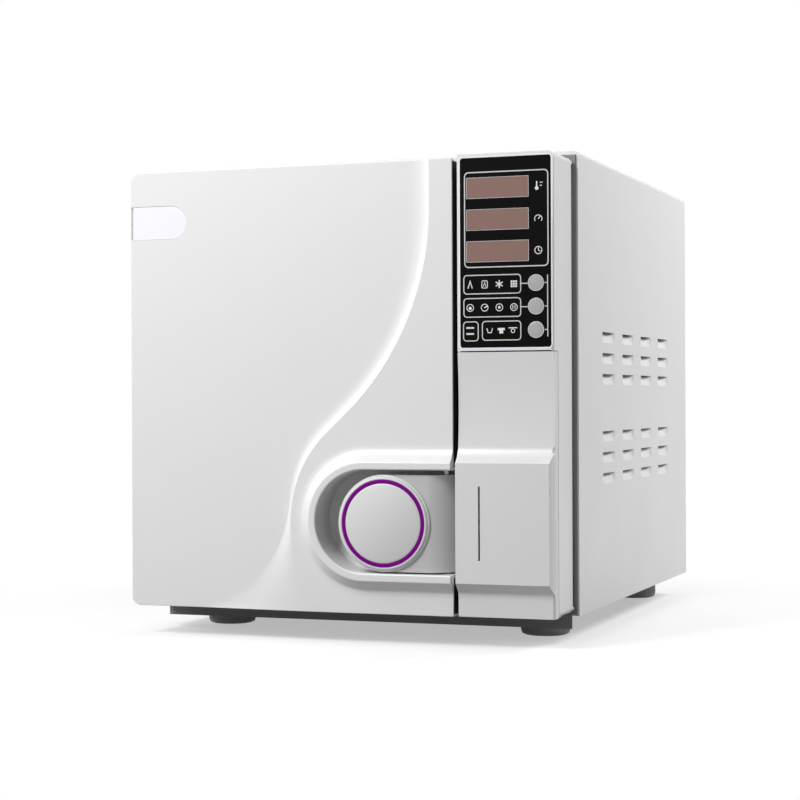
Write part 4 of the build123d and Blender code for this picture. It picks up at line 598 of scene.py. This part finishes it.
def handle_disc():
    """Round handle cap: crowned face, the groove that the violet ring fills, and a stepped rim."""
    edge = knob_front + disc_crown           # where the crowned face ends
    step, lip, shoulder = edge + 1.9, 1.3, 1.2
    profile = [(r, knob_front + disc_crown * (r / 32) ** 2)
               for r in (0, 4, 8, 12, 16, 20, 24, 28, 31.4)]
    profile += [(32.0, edge + 0.1), (32.3, edge + 0.35), (32.3, edge + 0.8), (35.7, edge + 0.8),
                (35.7, edge + 0.3), (35.9, edge + 0.12), (36.3, edge + 0.1)]
    profile += [(36.5 + lip * sin(a), edge + 0.1 + lip * (1 - cos(a)))
                for a in np.linspace(0.2, pi / 2, 6)]
    profile += [(37.8, edge + 1.7), (38.0, step)]
    profile += [(38.3 + shoulder * sin(a), step + shoulder * (1 - cos(a)))
                for a in np.linspace(0.2, pi / 2, 5)]
    profile += [(knob_radius, knob_back - 0.5), (knob_radius - 0.4, knob_back - 0.1),
                (knob_radius - 0.8, knob_back), (0, knob_back)]
    piece = rounded(lathe("handle_disc", profile, (knob_x, knob_z), disc_abs, 160))
    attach(piece, "handle")
    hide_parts("handle_cap")


def trim_ring():
    """Violet ring set in the handle cap, with a crowned face."""
    edge = knob_front + disc_crown
    profile = [(32.35, edge + 0.8), (32.35, edge + 0.3), (32.7, edge + 0.12), (34.0, edge + 0.06),
               (35.3, edge + 0.12), (35.65, edge + 0.3), (35.65, edge + 0.8)]
    piece = ring_piece("handle_trim", profile, (knob_x, knob_z), violet_trim, 160)
    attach(piece, "handle")
    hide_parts("handle_ring")


def keys():
    """Three round push keys with softly crowned caps, each with a thin pale rim."""
    top, radius, flange = front - 0.9, 6.6, 8.0
    for node, body, z in (("key_program", "program_key", key_zs[0]),
                          ("key_test", "test_key", key_zs[1]),
                          ("key_start", "start_key", key_zs[2])):
        profile = [(0, top), (3, top + 0.02), (5.0, top + 0.08), (6.0, top + 0.25),
                   (6.45, top + 0.6), (radius, top + 1.1), (radius, front + 2.5),
                   (flange, front + 2.5), (flange, front + 3.7), (3, front + 3.7),
                   (3, front + 7.0), (0, front + 7.0)]
        piece = rounded(lathe("cap_" + node, profile, (key_x, z), key_grey, 64))
        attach(piece, body)
        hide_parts(node)
        rim = [(6.05, top + 0.6), (6.05, top + 0.1), (6.2, top), (6.4, top + 0.02),
               (6.58, top + 0.25), (6.58, top + 0.85)]
        pale_edge_line = ring_piece("rim_" + node, rim, (key_x, z), white_ink, 64)
        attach(pale_edge_line, body)


def sharp_edges(mesh, inside, angle):
    """Edges whose ends all pass a test, and whose faces meet at more than an angle in radians."""
    return [edge for edge in mesh.edges
            if all(inside(v.co) for v in edge.verts) and edge.calc_face_angle(0) > angle]


def roll(mesh, edges, offset, segments, clamp=False):
    """Rolls edges of an open mesh over, by an offset in millimetres."""
    bmesh.ops.bevel(mesh, geom=edges, offset=offset / 1000, segments=segments, profile=0.5,
                    affect="EDGES", clamp_overlap=clamp)
    mesh.normal_update()


def soft_side(mesh):
    """Rounds the upright edge between the front and the right side."""
    side, behind = side_x / 1000, (front + 0.5) / 1000
    corner = sharp_edges(mesh, lambda p: abs(p.x - side) < 5e-5 and p.y < behind, 0.8)
    upright = [e for e in corner if abs(e.verts[0].co.z - e.verts[1].co.z) > 1e-4]
    roll(mesh, upright, 2.2, 4)


def soft_frame(mesh):
    """Rolls the front frame's forward edges over, and its right side's rear edge at the seam."""
    forward_of, back, near_side, shortest = -0.2, -0.193, 0.186, 0.01
    soft_side(mesh)
    forward = sharp_edges(mesh, lambda p: p.y < forward_of, radians(40))
    roll(mesh, forward, 0.7, 2, clamp=True)
    rear = sharp_edges(mesh, lambda p: abs(p.y - back) < 2e-4 and p.x > near_side, 1.0)
    roll(mesh, [e for e in rear if e.calc_length() > shortest], 4.2, 5)


def swept_box(mesh):
    """Gives the raised box of the service door the door's slopes above and below."""
    low_crest, high_crest, mid = 52.5, 148.5, 100
    rise, plain_slope, box_only = -8, 7.5, -246.6    # the solid's straight slope, and its extent
    for share in np.linspace(0.08, 1, 12):
        for level in (low_crest - slope_reach * share, high_crest + slope_reach * share):
            every = list(mesh.verts) + list(mesh.edges) + list(mesh.faces)
            bmesh.ops.bisect_plane(mesh, geom=every, dist=1e-6, plane_co=(0, 0, level / 1000),
                                   plane_no=(0, 0, 1))
    for vert in mesh.verts:
        y, z = vert.co.y * 1000, vert.co.z * 1000
        out = low_crest - z if z < mid else z - high_crest
        if y < box_only and 0 < out < slope_reach:
            swell = rise * (1 - out / slope_reach) ** 2 if z > mid else np.interp(out, *low_slope)
            straight = rise * max(0, 1 - out / plain_slope)
            vert.co.y += (swell - straight) / 1000
    mesh.normal_update()
    soft_side(mesh)


def round_corners(mesh):
    """Rounds the four outer corners of the foil."""
    left, right, low, high = (f(v.co[i] for v in mesh.verts) for i in (0, 2) for f in (min, max))

    def at_corner(p):
        return (min(abs(p.x - left), abs(p.x - right)) < 1e-5
                and min(abs(p.z - low), abs(p.z - high)) < 1e-5)

    corners = [e for e in mesh.edges if abs(e.verts[0].co.y - e.verts[1].co.y) > 1e-4
               and all(at_corner(v.co) for v in e.verts)]
    roll(mesh, corners, 2.5, 7)


def short_lip(mesh):
    """Draws the ends of the rear lip in, behind the feet."""
    lip_front, lip_top, share = 0.22, 0.0215, 0.86
    for vert in mesh.verts:
        if vert.co.y > lip_front and vert.co.z < lip_top:
            vert.co.x *= share


door_shell()
handle_disc()
trim_ring()
keys()

for node, name, body, width, finish, slot_name, shape in (
    ("membrane_panel", "panel_foil", "cabinet", 0.0, dark_foil, "dark_foil", round_corners),
    ("base_tray", "floor_pan", "cabinet", 0.35, floor_pan_shade_grey, "dark_base", short_lip),
    ("front_frame", "frame_moulding", "cabinet", 0.0, white_abs, "white_moulding", soft_frame),
    ("service_door", "service_flap_moulding", "service_flap", 0.7, flap_abs, "white_moulding",
     swept_box),
    ("tank_lid", "lid_moulding", "lid", 0.8, white_abs, "white_moulding", None),
    ("handle_lever", "lever_moulding", "handle", 0.8, grey_abs, "grey_moulding", None),
):
    piece = softened(node, name, width, finish, shape)
    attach(piece, body)
    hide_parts(node)


class Print:
    """Screen-print on the foil, and the painted highlight round it: strokes, discs and outlines.
    Each is a thin closed shape, and shapes that cross stand at different levels."""

    levels, proud, step, sunk = 6, 0.05, 0.004, 0.02

    def __init__(self):
        self.points, self.faces, self.level = [], [], 0

    def solid(self, outline, top_faces):
        """Closes a flat shape: its points, its faces seen from the front, and its walls."""
        n, start = len(outline), len(self.points)
        self.level = (self.level + 1) % self.levels
        for y in (front - self.proud - self.step * self.level, front + self.sunk):
            self.points += [(x, y, z) for x, z in outline]
        walls = {}
        for face in top_faces:
            for a, b in zip(face, face[1:] + face[:1]):
                if (b, a) in walls:
                    del walls[b, a]
                else:
                    walls[a, b] = True
        self.faces += [tuple(start + i for i in face) for face in top_faces]
        self.faces += [tuple(start + n + i for i in reversed(face)) for face in top_faces]
        self.faces += [(start + b, start + a, start + n + a, start + n + b) for a, b in walls]

    def shape(self, outline):
        self.solid(outline, [list(range(len(outline)))])

    def stroke(self, places, width, close=False):
        """Line of one width with mitred bends."""
        places = [np.array(p, float) for p in places]
        count, half, outline = len(places), width / 2, []
        for i, place in enumerate(places):
            before = place - places[i - 1] if i or close else None
            after = places[(i + 1) % count] - place if i < count - 1 or close else None
            ways = [way / np.hypot(*way) for way in (before, after) if way is not None]
            along = sum(ways) / np.hypot(*sum(ways))
            side = np.array([-along[1], along[0]]) * half / max(along @ ways[0], 0.4)
            end = 0 if len(ways) == 2 else half * (-1 if before is None else 1)
            outline += [place + side + along * end, place - side + along * end]
        last = count if close else count - 1
        faces = [[2 * i, 2 * i + 1, (2 * i + 3) % (2 * count), (2 * i + 2) % (2 * count)]
                 for i in range(last)]
        self.solid(outline, faces)

    def disc(self, x, z, radius):
        self.shape(arc(x, z, radius, whole_turn(20)))

    def ring(self, x, z, radius, width, first=0, last=360):
        """Ring, or part of one between two angles in degrees."""
        steps, full = 24, last - first == 360
        angles = [radians(first + (last - first) * i / steps)
                  for i in range(steps if full else steps + 1)]
        self.stroke(arc(x, z, radius, angles), width, close=full)

    def frame(self, x0, x1, z0, z1, radius, width):
        """Outline of a box with round corners."""
        places = []
        for cx, cz, start in ((x1 - radius, z1 - radius, 0), (x0 + radius, z1 - radius, 90),
                              (x0 + radius, z0 + radius, 180), (x1 - radius, z0 + radius, 270)):
            places += arc(cx, cz, radius, [radians(start + a) for a in range(0, 91, 18)])
        self.stroke(places, width, close=True)

    def piece(self, name, finish):
        made = faced_out(mesh_piece(name, self.points, self.faces, finish))
        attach(made, "cabinet")


# Grey outlines round the displays and the rows of signs, and the lines that lead to the keys
lines = Print()
for x0, x1, z0, z1, radius, width in (
    (112.7, 181.7, 304.7, 380.4, 3.2, 0.9),
    (111.8, 159.1, 283.5, 298.3, 2.6, 0.8),
    (111.8, 159.1, 265.0, 279.8, 2.6, 0.8),
    (111.4, 123.7, 246.0, 261.2, 2.6, 0.8),
    (127.2, 159.1, 246.4, 261.4, 2.6, 0.8),
):
    lines.frame(x0, x1, z0, z1, radius, width)
lines.stroke([(159.6, 291.0), (164.4, 291.0)], 0.8)
lines.stroke([(159.6, 272.5), (164.4, 272.5)], 0.8)
lines.stroke([(181.2, 297.2), (181.2, 249.0)], 0.8)
for z in key_zs:
    lines.stroke([(179.2, z), (180.7, z)], 0.8)
for low, high in ((359.8, 376.0), (334.4, 350.6), (309.0, 325.2)):
    lines.frame(114.15, 165.75, low - 0.15, high + 0.15, 0.3, 0.3)
lines.piece("print_outlines", grey_ink)

# Thin pale line round the foil: painted highlight of the frame's edge round the foil recess
pale_edge_line = Print()
pale_edge_line.frame(108.2, 184.75, 239.95, 392.7, 2.8, 1.1)
pale_edge_line.piece("foil_edge_painted_highlight", pale_inlay_and_edge_highlight)

# Plain signs: temperature, pressure and time beside the displays, and the kinds of load below
signs = Print()
signs.stroke([(172.6, 366.6), (172.6, 371.0)], 1.0)
signs.disc(172.6, 366.0, 1.5)
signs.stroke([(175.4, 370.4), (177.2, 370.4)], 0.6)
signs.stroke([(175.4, 368.0), (176.6, 368.0)], 0.6)
signs.ring(173.8, 341.8, 3.0, 0.6, -30, 210)
signs.stroke([(173.8, 341.8), (175.4, 343.6)], 0.7)
signs.ring(173.8, 317.0, 2.9, 0.6)
signs.stroke([(173.8, 319.0), (173.8, 317.0), (175.3, 316.2)], 0.6)
signs.stroke([(115.4, 288.2), (117.1, 293.6), (118.8, 288.2)], 0.8)
signs.frame(126.9, 131.5, 288.0, 293.8, 1.0, 0.6)
signs.stroke([(128.0, 289.0), (129.2, 292.6), (130.4, 289.0)], 0.5)
for turn_by in range(0, 180, 60):
    dx, dz = 2.8 * sin(radians(turn_by)), 2.8 * cos(radians(turn_by))
    signs.stroke([(141.4 - dx, 290.9 - dz), (141.4 + dx, 290.9 + dz)], 0.9)
dot, pitch = 0.75, 1.9
for column in range(3):
    for row in range(3):
        x, z = 151.6 + pitch * column, 289.0 + pitch * row
        signs.shape([(x - dot, z - dot), (x + dot, z - dot),
                     (x + dot, z + dot), (x - dot, z + dot)])
for x in (117.1, 129.2, 141.4, 153.5):
    signs.ring(x, 272.4, 2.8, 0.6)
signs.disc(117.1, 272.0, 1.3)
signs.stroke([(129.2, 272.4), (131.0, 273.4)], 0.9)
signs.disc(141.4, 272.4, 1.1)
signs.stroke([(152.6, 271.2), (152.6, 273.8)], 0.6)
signs.stroke([(154.4, 271.2), (154.4, 273.8)], 0.6)
for z in (256.4, 251.6):
    signs.stroke([(114.4, z), (116.6, z)], 1.3)
    signs.stroke([(118.0, z), (119.6, z)], 1.3)
signs.stroke([(131.0, 255.6), (132.0, 252.4), (134.6, 252.4), (135.6, 255.6)], 0.7)
signs.shape([(141.3, 251.6), (144.5, 251.6), (144.5, 254.4), (145.9, 254.2), (145.9, 256.0),
             (139.9, 256.0), (139.9, 254.2), (141.3, 254.4)])
signs.stroke([(149.4, 256.0), (155.8, 256.0)], 0.8)
signs.ring(152.6, 253.6, 1.5, 0.6)
signs.piece("print_signs", white_ink)


def painted_seam_shade():
    """Flat grey strip round the seam between the front frame and the cabinet: painted shade that
    darkens the gap.
    """
    strip_front, thick = -190.6, 1.55
    outside, inside = (188.3, 23.6, 398.6), (184.6, 26.9, 393.6)   # half width, low, high
    points, faces = [], []
    for half, low, high in (outside, inside):
        for y in (strip_front, strip_front + thick):
            points += [(-half, y, low), (half, y, low), (half, y, high), (-half, y, high)]
    for i in range(4):
        j = (i + 1) % 4
        faces += [(i, j, 4 + j, 4 + i), (8 + j, 8 + i, 12 + i, 12 + j), (j, i, 8 + i, 8 + j),
                  (4 + i, 4 + j, 12 + j, 12 + i)]
    piece = faced_out(mesh_piece("painted_seam_shade", points, faces, seam_shade_grey))
    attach(piece, "cabinet")


def painted_door_gap_shade():
    """Black strip down the free edge of the door, above and below the handle well: painted shade of
    the gap beside the door.
    """
    strip_front, strip_back = front + 1.6, -236.0
    for name, low, high in (("door_gap_shade_low", 27.0, 56.0),
                            ("door_gap_shade_high", 145.0, 391.0)):
        piece = block(name, (door_right - 0.1, strip_front, low),
                      (door_right + 0.5, strip_back, high), black_rubber)
        rounded(piece, 0.15)
        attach(piece, "door")


def louvre_scoops():
    """Rounds the pressed louvres off: each slope rises to the sheet at its ends and its foot."""
    length, height, depth, skin = 41.8, 9.0, 4.45, 0.5
    sheet_x, fullness = 189.97, 3.5
    tops, mids = (256.5, 238.5, 220.5, 171.5, 153.5, 135.5), (-88.0, -16.0, 56.0, 128.0)
    along, up = np.linspace(-1, 1, 25), np.linspace(0, 1, 7)
    rows, columns = len(up), len(along)
    layer = rows * columns
    points, faces = [], []
    for side, top, mid in [(s, t, m) for s in (-1, 1) for t in tops for m in mids]:
        start = len(points)
        for inward in (0.0, skin):
            for rise in up:
                for share in along:
                    sunk = depth * rise * (1 - abs(share) ** fullness)
                    points.append((side * (sheet_x - sunk - inward), mid + share * length / 2,
                                   top - height * (1 - rise)))
        for quad in grid_faces(rows, columns, start):
            faces += [quad, tuple(i + layer for i in reversed(quad))]
        rim = [start + i for i in grid_rim(rows, columns)]
        for a, b in zip(rim, rim[1:] + rim[:1]):
            faces.append((b, a, a + layer, b + layer))
    piece = rounded(faced_out(mesh_piece("louvre_scoops", points, faces, white_coat)))
    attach(piece, "cabinet")


def rear_screws():
    """Pan-head screws with cross recesses, round the rear panel and at the fan's corners."""
    fan_x, fan_z, fan_half = 143.0, 300.0, 35.75
    edge_x, edge_zs, top_xs = 180.5, (33.0, 215.0, 391.0), (-60.0, 60.0)
    slot_half, slot_width, slot_floor = 2.1, 0.45, rear_face + 0.9
    profile = [(0, rear_face - 0.5), (3.5, rear_face - 0.5), (3.5, rear_face + 0.5),
               (3.2, rear_face + 1.2), (2.4, rear_face + 1.8), (1.2, rear_face + 2.1),
               (0, rear_face + 2.15)]
    head = lathe("rear_screws", profile, (0, 0), zinc, 32)
    for half_x, half_z in ((slot_half, slot_width), (slot_width, slot_half)):
        cut(head, block("recess", (-half_x, slot_floor, -half_z), (half_x, rear_face + 3, half_z),
                        zinc))
    places = [(x, z) for x in (-edge_x, edge_x) for z in edge_zs]
    places += [(x, edge_zs[-1]) for x in top_xs]
    places += [(fan_x + x, fan_z + z) for x in (-fan_half, fan_half) for z in (-fan_half, fan_half)]
    mesh = bmesh.new()
    for x, z in places:
        one = head.data.copy()
        one.transform(Matrix.Translation((x / 1000, 0, z / 1000)))
        mesh.from_mesh(one)
        bpy.data.meshes.remove(one)
    mesh.to_mesh(head.data)
    mesh.free()
    rounded(head)
    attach(head, "cabinet")


painted_seam_shade()
painted_door_gap_shade()
louvre_scoops()
rear_screws()

# Camera at the photograph's place, in metres and degrees
focal_px, picture_px, sensor_mm = 1955, 800, 36.0
camera_place = (0.5984, -1.7374, 0.2002)
camera_turn, camera_dip, camera_roll = 20.0, 0.041, -0.248
lens = bpy.data.cameras.new("camera")
lens.sensor_width = sensor_mm
lens.lens = focal_px / picture_px * sensor_mm
lens.clip_end = 50.0
camera = bpy.data.objects.new("camera", lens)
bpy.context.scene.collection.objects.link(camera)
turned = Matrix.Rotation(radians(camera_turn), 4, "Z")
turned = turned @ Matrix.Rotation(radians(90 - camera_dip), 4, "X")
turned = turned @ Matrix.Rotation(radians(camera_roll), 4, "Z")
camera.matrix_world = Matrix.Translation(camera_place) @ turned
bpy.context.scene.camera = camera

# Floor: pale with the object's soft shadow, fading to the white backdrop further out. It is grey
# for the light that it throws back at the object.
shadow_reach, backdrop_from = 0.2, 0.5       # in metres from the middle
shadow_glow = 0.45                           # share of white over the shadow
floor_size = 12.0
floor_paint = bpy.data.materials.new("pale_studio_floor")
floor_paint.use_nodes = True
tree = floor_paint.node_tree
shader = tree.nodes["Principled BSDF"]
ray = add_node(tree, "ShaderNodeLightPath").outputs
pale = mixed(tree, ray["Is Camera Ray"], linear("#8a8a8a"), linear("#fdfdfd"))
tree.links.new(pale, shader.inputs["Base Color"])
shader.inputs["Roughness"].default_value = 0.9
shader.inputs["Specular IOR Level"].default_value = 0.0
place = add_node(tree, "ShaderNodeTexCoord").outputs["Object"]
far = add_node(tree, "ShaderNodeVectorMath", {"operation": "LENGTH"}, n0=place).outputs["Value"]
fade = add_node(tree, "ShaderNodeMapRange", {"interpolation_type": "SMOOTHSTEP"}, Value=far,
                From_Min=shadow_reach, From_Max=backdrop_from, To_Min=shadow_glow)
seen = maths(tree, "MAXIMUM", ray["Is Camera Ray"], ray["Is Glossy Ray"])
blend = maths(tree, "MULTIPLY", fade.outputs["Result"], seen)
glow = add_node(tree, "ShaderNodeEmission", Color=(1, 1, 1, 1), Strength=1.0)
both = add_node(tree, "ShaderNodeMixShader", n0=blend, n1=shader.outputs[0], n2=glow.outputs[0])
tree.links.new(both.outputs[0], tree.nodes["Material Output"].inputs["Surface"])
bpy.ops.object.select_all(action="DESELECT")
bpy.ops.mesh.primitive_plane_add(size=floor_size, location=(0, 0, 0))
floor = bpy.context.object
floor.name = "studio_floor"
floor.data.materials.append(floor_paint)

# World: white to the camera and through glass, half as white in mirrors, and dim as a light
ambient, mirror_share = 0.19, 0.5
world = bpy.data.worlds.new("studio")
world.use_nodes = True
bpy.context.scene.world = world
sky = world.node_tree
backdrop = sky.nodes["Background"]
backdrop.inputs["Color"].default_value = (1, 1, 1, 1)
ray = add_node(sky, "ShaderNodeLightPath").outputs
seen = maths(sky, "MAXIMUM", ray["Is Camera Ray"], ray["Is Transmission Ray"])
mirrored = maths(sky, "MULTIPLY", ray["Is Glossy Ray"], mirror_share)
level = add_node(sky, "ShaderNodeMapRange", Value=maths(sky, "MAXIMUM", seen, mirrored),
                 To_Min=ambient, To_Max=1.0)
sky.links.new(level.outputs["Result"], backdrop.inputs["Strength"])


def lamp(name, place, target, width, height, power):
    """Soft rectangular lamp, in metres and watts."""
    data = bpy.data.lights.new(name, "AREA")
    data.shape = "RECTANGLE"
    data.size, data.size_y, data.energy = width, height, power
    made = bpy.data.objects.new(name, data)
    bpy.context.scene.collection.objects.link(made)
    made.location = place
    made.rotation_euler = (Vector(target) - Vector(place)).to_track_quat("-Z", "Y").to_euler()


lamp("key_light", (-0.6, -1.4, 1.3), (0, -0.2, 0.25), 0.6, 0.6, 24.8)
lamp("left_strip", (-1.75, -0.7, 1.25), (0, -0.2, 0.2), 0.5, 1.0, 15)
lamp("right_light", (1.35, 0.8, 1.36), (0.2, 0.05, 0.3), 0.7, 0.7, 31)

scene = bpy.context.scene
scene.view_settings.view_transform = "Standard"
